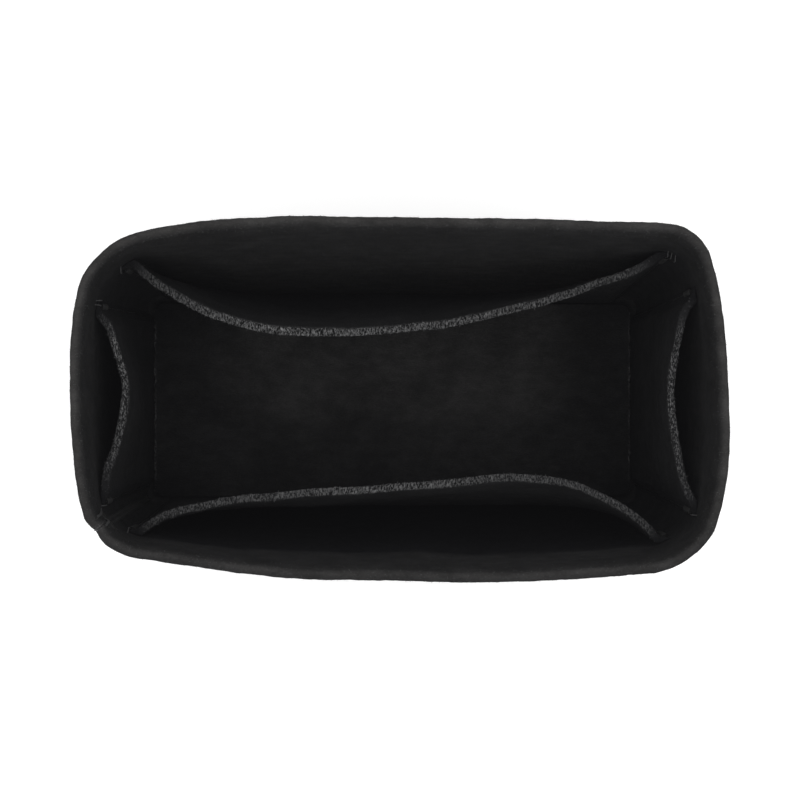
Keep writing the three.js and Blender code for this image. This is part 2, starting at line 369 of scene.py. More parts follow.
@dataclass(frozen=True)
class Thread:
    """Two-ply sewing thread, laid along a path as a closed tube."""

    radius: float = 0.19
    sides: int = 8
    ply_depth: float = 0.16
    ply_pitch: float = 1.1
    stitch_steps: int = 8
    stitch_rise: float = 0.55
    stitch_dive_power: float = 6

    def lay(self, body: Body, path: Array, facing: Array, shade: float = 0) -> None:
        """Lay one length of thread.

        Args:
            body: the body that it is added to.
            path: the points that it follows, one a row.
            facing: the way that its upper side faces.
            shade: how pale it is, from 0 to 1.
        """
        along = unit(np.gradient(path, axis=0))
        beside = unit(np.cross(along, facing))
        upper = np.cross(beside, along)
        angles = 2 * math.pi * np.arange(self.sides) / self.sides
        twist = 2 * (angles[None, :] - math.pi * run_along(path)[:, None] / self.ply_pitch)
        reach = (self.radius * (1 + self.ply_depth * np.cos(twist)))[..., None]
        beside, upper = beside[:, None], upper[:, None]
        ring = np.cos(angles)[None, :, None] * beside + np.sin(angles)[None, :, None] * upper
        points = path[:, None] + reach * ring
        end = (len(path) - 1) * self.sides
        caps = [list(range(self.sides)), [end + s for s in reversed(range(self.sides))]]
        body.add(points.reshape(-1, 3), caps + tube_faces(len(path), self.sides), shade=shade)

    def stitch(self, body: Body, start: Array, end: Array, facing: Array, depth: float = 0.3) -> None:
        """Lay one stitch that rises out of the felt at start and dives into it at end.

        Args:
            body: the body that it is added to.
            start: where it leaves the felt.
            end: where it goes back.
            facing: the way that the felt faces.
            depth: how far its ends go into the felt.
        """
        shares = np.linspace(0, 1, self.stitch_steps + 1)[:, None]
        dive = (depth + self.radius) * np.abs(2 * shares - 1) ** self.stitch_dive_power
        self.lay(body, lerp(start, end, shares) + facing * (self.radius * self.stitch_rise - dive), facing)


@dataclass(frozen=True)
class Tack:
    """A bar tack: close passes of thread over a few long underlying ones."""

    length: float = 8
    width: float = 2.2
    passes: int = 21
    pass_steps: int = 6
    pass_rise: float = 0.12
    pass_dive: float = 0.45
    pass_dive_power: int = 6
    loft: float = 0.34
    loft_power: int = 4
    under_place_shares: tuple[float, ...] = (-0.55, 0, 0.55)
    under_length_share: float = 0.96
    under_steps: int = 12
    under_rise: float = 0.16
    under_dive: float = 0.5
    under_dive_power: float = 10
    pitch_sway: float = 0.04
    reach_sway: float = 0.07
    thread: Thread = Thread(radius=0.2)

    def sew(self, middle: Array, up: Array, facing: Array, seed: int) -> Body:
        """Sew the tack.

        Args:
            middle: the felt's surface under its middle.
            up: the way that it runs.
            facing: the way that the felt faces.
            seed: the seed of its small unevenness.

        Returns:
            Its thread.
        """
        draw = np.random.default_rng(seed)
        beside = np.cross(up, facing)
        body = Body()
        shares = np.linspace(-0.5, 0.5, self.under_steps)[:, None]
        rise = self.under_rise - self.under_dive * np.abs(2 * shares) ** self.under_dive_power
        under = middle + up * self.length * self.under_length_share * shares + facing * rise
        for place in self.under_place_shares:
            self.thread.lay(body, under + beside * place * self.width / 2, facing)
        points = []
        pitch = self.length / self.passes
        for i in range(self.passes + 1):
            y = i * pitch - self.length / 2 + draw.normal(0, self.pitch_sway)
            reach = self.width / 2 + draw.normal(0, self.reach_sway)
            for share in np.linspace(0, 1, self.pass_steps, endpoint=False):
                across = HANDS[i % 2] * math.cos(math.pi * share)
                rise = self.pass_rise + self.loft * (1 - across**self.loft_power)
                rise = rise - self.pass_dive * across**self.pass_dive_power
                points.append(middle + up * (y + pitch * share) + beside * across * reach + facing * rise)
        self.thread.lay(body, np.array(points[: -self.pass_steps]), facing)
        return body


class Side(Enum):
    """A side of the wall that carries a pocket: its name, the way out and the way that it runs."""

    BACK = ("back", (0, 1), (1, 0))
    FRONT = ("front", (0, -1), (1, 0))
    LEFT = ("left", (-1, 0), (0, 1))
    RIGHT = ("right", (1, 0), (0, 1))

    @property
    def label(self) -> str:
        """Return the side's name."""
        return self.value[0]

    @property
    def out(self) -> Array:
        """Return the way out through this side."""
        return np.array(self.value[1], float)

    @property
    def run(self) -> Array:
        """Return the way that this side runs."""
        return np.array(self.value[2], float)

    @property
    def is_long(self) -> bool:
        """Return whether this is one of the two long sides."""
        return self in (Side.BACK, Side.FRONT)

    @property
    def ends(self) -> tuple[str, str]:
        """Return the names of the side's two ends."""
        return ("left", "right") if self.is_long else ("front", "back")


@dataclass(frozen=True)
class Corner:
    """A corner of the wall: which way it lies, where its arc starts and its radius at the rim."""

    side: int
    depth: int
    start: float
    rim_radius: float


CORNERS = (
    Corner(-1, -1, math.pi, 12.7),
    Corner(1, -1, 1.5 * math.pi, 15),
    Corner(1, 1, 0, 8),
    Corner(-1, 1, 0.5 * math.pi, 19.2),
)


@dataclass(frozen=True)
class Outline:
    """The wall's outer face at one height, from the corner seam and counter-clockwise from above."""

    points: Array
    normals: Array
    near_seam: Array

    def inset(self, distance: float) -> Array:
        """Return the outline drawn in by a distance."""
        return self.points - self.normals * distance


@dataclass(frozen=True)
class WallForm:
    """The shape of the wall strip: a rounded rectangle at the base that bows out towards the rim."""

    rim_length: float = 221
    rim_width: float = 123.2
    base_length: float = 218
    base_width: float = 96
    base_radius: float = 8
    full_height: float = 120
    foot: float = 3.1
    leg_felt: float = 1.65
    fold_slit: float = 0.3
    rim_end_bow: float = 10.6
    rim_side_bow: float = 4.7
    end_bow_power: float = 2.8
    side_bow_power: float = 2.4
    seam_gap: float = 0.15
    seam_notch: float = 0.1
    seam_notch_power: float = 14
    seam_turn_share: float = 0.26
    seam_draw_depth: float = 5.6
    seam_draw_power: float = 3
    seam_tuck_depth: float = 1.2
    seam_dip_depth: float = 1
    seam_dip_power: float = 8
    seam_reach: float = 7
    waves: Pairs = ((46, 0.35),)
    waves_seed: int = 1
    waves_start: float = 20
    waves_squash: float = 0.5
    rim_dent: float = 1.7
    rim_dent_shares: Pairs = (
        (0, -0.1), (0.045, -0.42), (0.115, 0.27), (0.165, -0.04), (0.2, 0.2), (0.3, 0.08), (0.385, 0.78),
        (0.46, 0.05), (0.53, 1.05), (0.575, 0.25), (0.65, -0.12), (0.69, -0.08), (0.735, 0.38), (0.775, 0.15),
        (0.813, -0.76), (0.835, -0.16), (0.875, -0.02), (0.92, -0.28), (0.957, -0.57), (1, -0.1),
    )
    corner_steps: int = 26
    long_steps: int = 190
    short_steps: int = 84

    @property
    def thickness(self) -> float:
        """Return the thickness of the folded wall."""
        return 2 * self.leg_felt + self.fold_slit

    def half_length(self, height: float) -> float:
        """Return half the wall's length at its corners, at a height."""
        return lerp(self.base_length / 2, self.rim_length / 2 - self.rim_end_bow, height / self.full_height)

    def half_width(self, height: float) -> float:
        """Return half the wall's width at its corners, at a height."""
        return lerp(self.base_width / 2, self.rim_width / 2 - self.rim_side_bow, height / self.full_height)

    def half_along(self, side: Side, height: float) -> float:
        """Return half the length of one side at a height."""
        return self.half_length(height) if side.is_long else self.half_width(height)

    def seam_dip(self, height: float) -> float:
        """Return how far the felt at the corner seam is drawn down, at a height."""
        return self.seam_dip_depth * (height / self.full_height) ** self.seam_dip_power

    def arc(self, corner: Corner, height: float, start: float, end: float) -> Array:
        """Trace part of a corner's arc.

        Args:
            corner: the corner.
            height: the height.
            start: the share of the arc's turn at which it starts.
            end: the share at which it ends.

        Returns:
            Its points in plan.
        """
        radius = lerp(self.base_radius, corner.rim_radius, height / self.full_height)
        turn = np.linspace(start, end, round(self.corner_steps * (end - start)) + 1)
        angle = corner.start + math.pi / 2 * turn
        x = corner.side * (self.half_length(height) - radius) + radius * np.cos(angle)
        y = corner.depth * (self.half_width(height) - radius) + radius * np.sin(angle)
        return np.stack([x, y], axis=1)

    def rounded_rectangle(self, height: float) -> Array:
        """Trace the wall before it bows, from the corner seam and round to it.

        Args:
            height: the height.

        Returns:
            Its points in plan.
        """
        seam = self.seam_turn_share
        arcs = [self.arc(corner, height, seam if i == 0 else 0, 1) for i, corner in enumerate(CORNERS)]
        arcs.append(self.arc(CORNERS[0], height, 0, seam))
        rows = []
        for i, steps in enumerate((self.long_steps, self.short_steps) * 2):
            shares = np.linspace(0, 1, steps + 1)[1:-1, None]
            rows += [arcs[i], lerp(arcs[i][-1], arcs[i + 1][0], shares)]
        return np.concatenate([*rows, arcs[-1]])

    @lru_cache(maxsize=None)
    def outline(self, height: float) -> Outline:
        """Trace the wall's outer face at a height.

        Args:
            height: the height above the surface that the organizer stands on.

        Returns:
            The outline, its normals and how near each point lies to the corner seam.
        """
        rise = height / self.full_height
        points = self.rounded_rectangle(height)
        along, across = points[:, 0] / self.half_length(height), points[:, 1] / self.half_width(height)
        end = self.rim_end_bow * rise * (1 - np.abs(across) ** self.end_bow_power) * along
        side = self.rim_side_bow * rise * (1 - np.abs(along) ** self.side_bow_power) * across
        draw = np.maximum(0, -across) * ((1 - along) / 2) ** self.seam_draw_power
        points = points + np.stack([end, side + self.seam_draw_depth * rise * draw], axis=1)
        _, normals = self._ways(points)
        run = run_along(points)
        dents = self.rim_dent * rise**2 * ease_pairs(self.rim_dent_shares, run / run[-1])
        waves = uneven(raised(points, height * self.waves_squash), self.waves, self.waves_seed)
        from_seam = smooth_step(0, self.waves_start, np.minimum(run, run[-1] - run))
        dents += waves * 4 * rise * (1 - rise) * from_seam
        points = points + normals * dents[:, None]
        way, normals = self._ways(points)
        near = np.maximum(0, 1 - np.linalg.norm(points - points[0], axis=1) / self.seam_reach)
        moved = points - normals * (self.seam_tuck_depth * rise * near**2)[:, None]
        gap = self.seam_gap + self.seam_notch * rise**self.seam_notch_power
        moved[0] += way[0] * gap / 2
        moved[-1] -= way[-1] * gap / 2
        return Outline(moved, normals, near)

    def _ways(self, points: Array) -> tuple[Array, Array]:
        """Find how a closed line runs.

        Args:
            points: its points in plan, with the first and the last at one place.

        Returns:
            The way that it runs at each point, and the way that it faces there.
        """
        before, after = np.roll(points, 1, axis=0), np.roll(points, -1, axis=0)
        before[0], after[-1] = points[-2], points[1]
        way = unit(after - before)
        return way, np.stack([way[:, 1], -way[:, 0]], axis=1)

    def on_wall(self, side: Side, height: float, along: float, inset: float) -> Array:
        """Find where the wall passes a place along a side.

        Args:
            side: the side of the wall.
            height: the height.
            along: the place along the side.
            inset: how far in from the outer face.

        Returns:
            The point in plan.
        """
        points = self.outline(height).inset(inset)
        points = points[points @ side.out > 0]
        run = points @ side.run
        order = np.argsort(run)
        return pass_at(along, run[order], points[order])


class Field:
    """A socket's number that varies over a surface. Arithmetic on it adds Math nodes to its material."""

    def __init__(self, shader: "Shader", socket: bpy.types.NodeSocket) -> None:
        """Wrap one output socket of a shader's nodes."""
        self.shader = shader
        self.socket = socket

    def _math(self, operation: str, *values: "Field | float") -> "Field":
        """Return the result of one Math node on some values."""
        return self.shader.field("ShaderNodeMath", {"operation": operation}, dict(enumerate(values)))

    def __add__(self, other: "Field | float") -> "Field":
        """Return self + other."""
        return self._math("ADD", self, other)

    def __radd__(self, other: float) -> "Field":
        """Return other + self."""
        return self._math("ADD", other, self)

    def __sub__(self, other: "Field | float") -> "Field":
        """Return self - other."""
        return self._math("SUBTRACT", self, other)

    def __rsub__(self, other: float) -> "Field":
        """Return other - self."""
        return self._math("SUBTRACT", other, self)

    def __mul__(self, other: "Field | float") -> "Field":
        """Return self * other."""
        return self._math("MULTIPLY", self, other)

    def __rmul__(self, other: float) -> "Field":
        """Return other * self."""
        return self._math("MULTIPLY", other, self)

    def __abs__(self) -> "Field":
        """Return the number without its sign."""
        return self._math("ABSOLUTE", self)

    def larger(self, other: "Field | float") -> "Field":
        """Return the larger of the two numbers."""
        return self._math("MAXIMUM", self, other)

    def step(self, low: float, high: float) -> "Field":
        """Return 0 below low, 1 above high and a smooth rise between them."""
        inputs = {"Value": self, "From Min": low, "From Max": high}
        return self.shader.field("ShaderNodeMapRange", {"interpolation_type": "SMOOTHSTEP"}, inputs)


class Shader:
    """A material or a world, and the nodes in it."""

    def __init__(self, owner: bpy.types.Material | bpy.types.World) -> None:
        """Start with no nodes.

        Args:
            owner: the material or the world.
        """
        self.owner = owner
        self.owner.use_nodes = True
        self.tree = owner.node_tree
        self.tree.nodes.clear()

    def node(self, kind: str, settings: Values | None = None, inputs: Values | None = None) -> bpy.types.Node:
        """Add a node.

        Args:
            kind: its type.
            settings: its own properties, set first.
            inputs: a value or a Field for each named or numbered input.

        Returns:
            The node.
        """
        made = self.tree.nodes.new(kind)
        for key, value in (settings or {}).items():
            setattr(made, key, value)
        for key, value in (inputs or {}).items():
            if isinstance(value, Field):
                self.tree.links.new(value.socket, made.inputs[key])
            else:
                made.inputs[key].default_value = value
        return made

    def field(
        self, kind: str, settings: Values | None = None, inputs: Values | None = None, output: int | str = 0
    ) -> Field:
        """Add a node as node() does, and return one of its outputs."""
        return Field(self, self.node(kind, settings, inputs).outputs[output])

    def place(self, turn: Triple = (0, 0, 0), stretch: Triple = (1, 1, 1)) -> Field:
        """Find the place on the object.

        Args:
            turn: how far it is turned first, about each axis.
            stretch: how far each axis is then stretched.

        Returns:
            The place, in millimetres.
        """
        here = self.field("ShaderNodeTexCoord", output="Object")
        inputs = {"Vector": here, "Rotation": turn, "Scale": [s / MM for s in stretch]}
        return self.field("ShaderNodeMapping", {}, inputs)

    def noise(self, place: Field, length: float, detail: float = 2) -> Field:
        """Return a cloudy field of about one length in millimetres, from 0 to 1."""
        inputs = {"Vector": place, "Scale": 1 / length, "Detail": detail, "Roughness": NOISE_ROUGHNESS}
        return self.field("ShaderNodeTexNoise", {}, inputs)

    def attribute(self, name: str) -> Field:
        """Return a number that the mesh holds at its points."""
        return self.field("ShaderNodeAttribute", {"attribute_name": name}, output="Fac")

    def tint(self, colour: Triple, amount: Field) -> Field:
        """Return a colour made lighter or darker by an amount that varies."""
        return self.field("ShaderNodeVectorMath", {"operation": "SCALE"}, {0: colour, "Scale": amount})

    def mix(self, share: Field, start: Field, end: Field) -> Field:
        """Return a colour that lies a share of the way from start to end."""
        return self.field("ShaderNodeMix", {"data_type": "RGBA"}, {0: share, 6: start, 7: end}, output=2)

    def bump(self, height: Field, depth: float, strength: float) -> Field:
        """Return the normal of a surface with that relief, its depth in millimetres."""
        inputs = {"Strength": strength, "Distance": depth * MM, "Height": height}
        return self.field("ShaderNodeBump", {}, inputs)

    def finish(self, painted_glow: Triple | None = None, **inputs: Any) -> bpy.types.Material:
        """Close the material with its surface shader.

        Args:
            painted_glow: a faint painted glow that stands for the light scattered among fibres, or None.
            inputs: the surface shader's inputs, with each space as an underscore.

        Returns:
            The material.
        """
        # Painted glow: an emission of that colour at strength one.
        if painted_glow:
            inputs |= {"Emission_Color": (*painted_glow, 1), "Emission_Strength": 1}
        named = {key.replace("_", " "): value for key, value in inputs.items()}
        surface = self.field("ShaderNodeBsdfPrincipled", {}, named)
        self.node("ShaderNodeOutputMaterial", {}, {"Surface": surface})
        return self.owner


@dataclass(frozen=True)
class FeltFinish:
    """Needle felt: a matt mat of short fibres, with lighter fibre ends where it was cut.

    A length is that of the noise, a depth is how far it swings the tone, and a range is where it rises.
    """

    name: str
    colour: Triple = (0.0182, 0.018, 0.0184)
    # Colour of the worn mark, which paints both real wear and painted light.
    worn_colour: Triple = (0.042, 0.0406, 0.0398)
    cut_colour: Triple = (0.098, 0.098, 0.099)
    # Painted shade colour, into which the shade mark darkens the nap.
    painted_shade_colour: Triple = (0.0025, 0.0025, 0.0036)
    # Painted glow: a faint emission that lifts the felt's darkest tones.
    painted_glow: Triple = (0.0036, 0.0036, 0.0039)
    grain: float = 0.7
    grain_depth: float = 0.24
    grain_range: tuple[float, float] = (0.25, 0.75)
    mottle: float = 4.4
    mottle_depth: float = 0.3
    mottle_turn: Triple = (0.1, 0.2, 0.3)
    mottle_stretch: Triple = (0.55, 1.2, 1.2)
    cloud: float = 13
    cloud_depth: float = 0.35
    cloud_range: tuple[float, float] = (0.3, 0.7)
    streak_turns: tuple[Triple, ...] = ((0.3, 0.2, 0.1), (0.9, 1.3, 0.4), (1.7, 0.5, 2.2), (2.4, 2.0, 1.1))
    streak_stretch: Triple = (0.22, 1.5, 1.5)
    streak_width: float = 0.045
    streak_depth: float = 0.3
    speck: float = 0.48
    speck_range: tuple[float, float] = (0.53, 0.58)
    speck_stretch: float = 0.38
    speck_turns: Triple = (0.35, -0.5, 0.05)
    speck_tones: tuple[float, float] = (0.7, 0.5)
    cut_way: float = 0
    cut_tones: tuple[float, float] = (0.02, 2.0)
    rough: float = 0.93
    rough_swing: float = 0.06
    specular: float = 0.03
    sheen: float = 0.015
    sheen_roughness: float = 0.6
    relief: float = 0.45
    relief_strength: float = 0.8
    relief_shares: Triple = (0.5, 0.35, 0.9)

    def _swing(self, depth: float, noise: Field, reach: tuple[float, float]) -> Field:
        """Return a tone that swings about one by a depth, as a noise rises through a range."""
        return (1 - depth / 2) + depth * noise.step(*reach)

    def _streaks(self, shader: Shader) -> Field:
        """Draw the fine lines of single fibres that lie every way.

        Args:
            shader: the material that they are in.

        Returns:
            A field that is 1 along their middles.
        """
        lines = [shader.noise(shader.place(turn, self.streak_stretch), 1) for turn in self.streak_turns]
        first, *others = [1 - abs(line - 0.5).step(0, self.streak_width) for line in lines]
        for line in others:
            first = first.larger(line)
        return first

    def _specks(self, shader: Shader) -> Field:
        """Draw the pale ends of cut fibres.

        Args:
            shader: the material that they are in.

        Returns:
            How bright they are.
        """
        stretch = (1, self.speck_stretch, 1)
        places = [shader.place((0, 0, self.cut_way + turn), stretch) for turn in self.speck_turns]
        first, second, third = [shader.noise(p, self.speck, 3).step(*self.speck_range) for p in places]
        return self.speck_tones[0] * first.larger(second) + self.speck_tones[1] * third

    def material(self) -> bpy.types.Material:
        """Make the finish.

        Returns:
            Its material.
        """
        shader = Shader(bpy.data.materials.new(self.name))
        place = shader.place()
        grain, cloud = (shader.noise(place, length, 3) for length in (self.grain, self.cloud))
        mottle = shader.noise(shader.place(self.mottle_turn, self.mottle_stretch), self.mottle)
        streaks, specks = self._streaks(shader), self._specks(shader)
        tone = self._swing(self.grain_depth, grain, self.grain_range)
        tone = tone * self._swing(self.cloud_depth, cloud, self.cloud_range)
        tone = tone * self._swing(self.mottle_depth, mottle, self.cloud_range)
        tone = tone + self.streak_depth * streaks * grain
        cut, worn, shade = (shader.attribute(mark) for mark in MARKS)
        # The worn mark lightens the nap: real wear on the rim's fold and a floor scuff, and painted light on
        # the fold, behind the back pocket and over the floor.
        nap = shader.mix(worn, shader.tint(self.colour, tone), shader.tint(self.worn_colour, tone))
        # The shade mark paints shade: it darkens the nap towards a near-black colour.
        nap = shader.mix(shade, nap, shader.tint(self.painted_shade_colour, tone))
        ends = shader.tint(self.cut_colour, self.cut_tones[0] + self.cut_tones[1] * specks)
        of_grain, of_streaks, of_specks = self.relief_shares
        height = of_grain * grain + of_streaks * streaks + of_specks * specks * cut
        return shader.finish(
            self.painted_glow,
            Base_Color=shader.mix(cut, nap, ends),
            Roughness=self.rough + self.rough_swing * grain,
            Specular_IOR_Level=self.specular,
            Sheen_Weight=self.sheen,
            Sheen_Roughness=self.sheen_roughness,
            Normal=shader.bump(height, self.relief, self.relief_strength),
        )


@dataclass(frozen=True)
class ThreadFinish:
    """Spun polyester thread or a loose fibre: darker between its strands, with a soft gloss."""

    name: str
    colour: Triple
    # Painted glow: a fainter emission that lifts the thread's darkest tones.
    painted_glow: Triple = (0.001, 0.001, 0.0011)
    rough: float = 0.62
    rough_swing: float = 0.15
    specular: float = 0.3
    strand: float = 0.25
    depth: float = 0.6
    lift: float = 0.0

    def material(self) -> bpy.types.Material:
        """Make the finish.

        Returns:
            Its material.
        """
        shader = Shader(bpy.data.materials.new(self.name))
        strands = shader.noise(shader.place(), self.strand, 1)
        tone = (1 - self.depth / 2) + self.depth * strands
        tone = tone * (1 + self.lift * shader.attribute("shade"))
        return shader.finish(
            self.painted_glow,
            Base_Color=shader.tint(self.colour, tone),
            Roughness=self.rough + self.rough_swing * strands,
            Specular_IOR_Level=self.specular,
        )


@dataclass(frozen=True)
class BoardFinish:
    """A thin stiffening board, matt and finely pitted, with scuffed pale patches."""

    name: str
    colour: Triple = (0.008, 0.008, 0.0083)
    scuffed: Triple = (0.013, 0.013, 0.0132)
    pit: float = 0.8
    pit_depth: float = 0.1
    pit_strength: float = 0.4
    pit_swing: float = 0.4
    scuff: float = 24
    scuff_range: tuple[float, float] = (0.5, 0.8)
    rough: float = 0.6
    rough_swing: float = 0.2

    def material(self) -> bpy.types.Material:
        """Make the finish.

        Returns:
            Its material.
        """
        shader = Shader(bpy.data.materials.new(self.name))
        place = shader.place()
        pits, scuffs = shader.noise(place, self.pit, 4), shader.noise(place, self.scuff, 5)
        tone = (1 - self.pit_swing / 2) + self.pit_swing * pits
        plain, scuffed = (shader.tint(colour, tone) for colour in (self.colour, self.scuffed))
        return shader.finish(
            Base_Color=shader.mix(scuffs.step(*self.scuff_range), plain, scuffed),
            Roughness=self.rough + self.rough_swing * pits,
            Normal=shader.bump(pits, self.pit_depth, self.pit_strength),
        )


@dataclass(frozen=True)
class Finishes:
    """Every finish that the organizer's pieces take."""

    wall: bpy.types.Material
    pocket: bpy.types.Material
    end_pocket: bpy.types.Material
    floor: bpy.types.Material
    base: bpy.types.Material
    board: bpy.types.Material
    thread: bpy.types.Material
    fibre: bpy.types.Material
    pale_thread: bpy.types.Material

    @classmethod
    def make(cls) -> "Finishes":
        """Make each finish once.

        Returns:
            The finishes.
        """
        pocket = FeltFinish("pocket_felt", colour=(0.0150, 0.0150, 0.0158))
        end_pocket = replace(
            pocket, name="end_pocket_felt", cut_colour=(0.185, 0.185, 0.187), cut_way=1.2,
            speck=0.46, speck_range=(0.565, 0.605), speck_stretch=0.4,
        )
        floor = FeltFinish("floor_felt", colour=(0.0136, 0.0135, 0.0138), cloud=17, cloud_depth=0.5)
        return cls(
            wall=FeltFinish("wall_felt").material(),
            pocket=pocket.material(),
            end_pocket=end_pocket.material(),
            floor=floor.material(),
            base=FeltFinish("base_felt").material(),
            board=BoardFinish("stiffening_board").material(),
            thread=ThreadFinish("thread", (0.019, 0.019, 0.0195), lift=4).material(),
            fibre=ThreadFinish("loose_fibre", (0.03, 0.03, 0.031), rough=0.8, lift=3.2).material(),
            pale_thread=ThreadFinish("pale_thread", (0.12, 0.12, 0.125), rough=0.7).material(),
        )


@dataclass(frozen=True)
class PocketForm:
    """A pocket's own shape: its height, how far its lip stands off, and the lip's line as shares.

    Each other row of pairs holds places and the value there. Dents and tones go along the lip, where a tone
    below zero lays painted shade; rear shades and room shades are painted shade, the rear ones going down
    from the lip and the room ones spread evenly along the panel.
    """

    side: Side
    height: float
    bulge: float
    end_shares: tuple[float, float]
    lip_shares: Pairs
    lip_dents: Pairs
    lip_tones: Pairs
    rear_shades: Pairs
    loops: tuple[int, int]
    lip_width: float
    room_shades: tuple[float, ...] = (0,)

    def lip(self, shares: Array) -> Array:
        """Follow the lip's smooth line.

        Args:
            shares: how far along the line's own run, from 0 to 1.

        Returns:
            For each, the share of the way between the lip's ends, and its depth in from them.
        """
        inner = [(share, self.bulge * depth) for share, depth in self.lip_shares]
        line = smooth_curve(np.array([(0, 0), *inner, (1, 0)], float), shares)
        line[:, 1] += ease_pairs(self.lip_dents, shares)
        return line


POCKETS = (
    PocketForm(
        Side.BACK, height=97, bulge=25.4, end_shares=(-0.912, 0.91), loops=(1, 3), lip_width=2.8,
        lip_shares=(
            (0.05, 0.32), (0.11, 0.6), (0.18, 0.83), (0.31, 1), (0.45, 1), (0.6, 0.89), (0.77, 0.61),
            (0.9, 0.32),
        ),
        lip_dents=(
            (0, 0), (0.05, 0.4), (0.15, -1.05), (0.31, -1.05), (0.42, 0.55), (0.55, -0.7), (0.65, 0.4),
            (0.8, 0.4), (0.87, 0.05), (0.95, 0.8), (1, 0.2),
        ),
        lip_tones=((0, -0.15), (0.08, 0.46), (0.2, 0.5), (0.4, 0.95), (0.6, 0.72), (0.92, 0.46), (1, -0.3)),
        rear_shades=((0, 0), (12, 0.15), (24, 0.52), (36, 0.86), (97, 0.95)),
    ),
    PocketForm(
        Side.FRONT, height=97, bulge=21.1, end_shares=(-0.892, 0.905), loops=(1, 0), lip_width=2.45,
        lip_shares=(
            (0.05, 0.29), (0.11, 0.46), (0.25, 0.64), (0.45, 0.77), (0.61, 0.91), (0.74, 1), (0.87, 0.81),
            (0.94, 0.48),
        ),
        lip_dents=(
            (0, 0), (0.05, 0.5), (0.2, -0.45), (0.27, -0.15), (0.37, -0.7), (0.46, 0.6), (0.55, 0.75),
            (0.62, 0.25), (0.7, 0.85), (0.8, -0.3), (0.87, 0.45), (0.95, 0.95), (1, 0.4),
        ),
        lip_tones=(
            (0, -0.4), (0.03, 0.2), (0.15, 0.45), (0.33, 0.4), (0.44, 0.8), (0.6, 0.46), (0.96, 0.36),
            (1, -0.25),
        ),
        rear_shades=((0, 0), (70, 0), (97, 0.15)),
    ),
    PocketForm(
        Side.LEFT, height=104, bulge=8.2, end_shares=(-0.575, 0.523), loops=(1, 2), lip_width=2,
        lip_shares=((0.08, 0.09), (0.28, 0.6), (0.53, 1), (0.67, 0.9), (0.9, 0.4)),
        lip_dents=(
            (0, 0), (0.11, 0.25), (0.24, -0.4), (0.5, 0.1), (0.67, 0.75), (0.78, 0.45), (0.89, 0.75),
            (1, 0.2),
        ),
        lip_tones=((0, -0.3), (0.1, -0.12), (0.3, 0.4), (0.55, 0.38), (0.76, 0.58), (0.92, 0.12), (1, 0.15)),
        rear_shades=((0, 0), (12, 0.2), (24, 0.38), (104, 0.38)),
        room_shades=(0, 0, 0.05, 0.12, 0.4, 0.6, 0.3),
    ),
    PocketForm(
        Side.RIGHT, height=104, bulge=8, end_shares=(-0.645, 0.625), loops=(1, 0), lip_width=2.15,
        lip_shares=((0.15, 0.51), (0.28, 0.72), (0.5, 1), (0.69, 0.89), (0.93, 0.43)),
        lip_dents=(
            (0, 0.3), (0.12, 0.9), (0.32, 0.2), (0.47, -0.85), (0.66, -0.1), (0.78, 0.4), (0.89, -0.1),
            (1, 0),
        ),
        lip_tones=(
            (0, -0.2), (0.03, 0.16), (0.38, 0.34), (0.52, 0.54), (0.76, 0.36), (0.84, -0.02), (1, -0.05),
        ),
        rear_shades=((0, 0), (12, 0.14), (24, 0.28), (104, 0.28)),
    ),
)


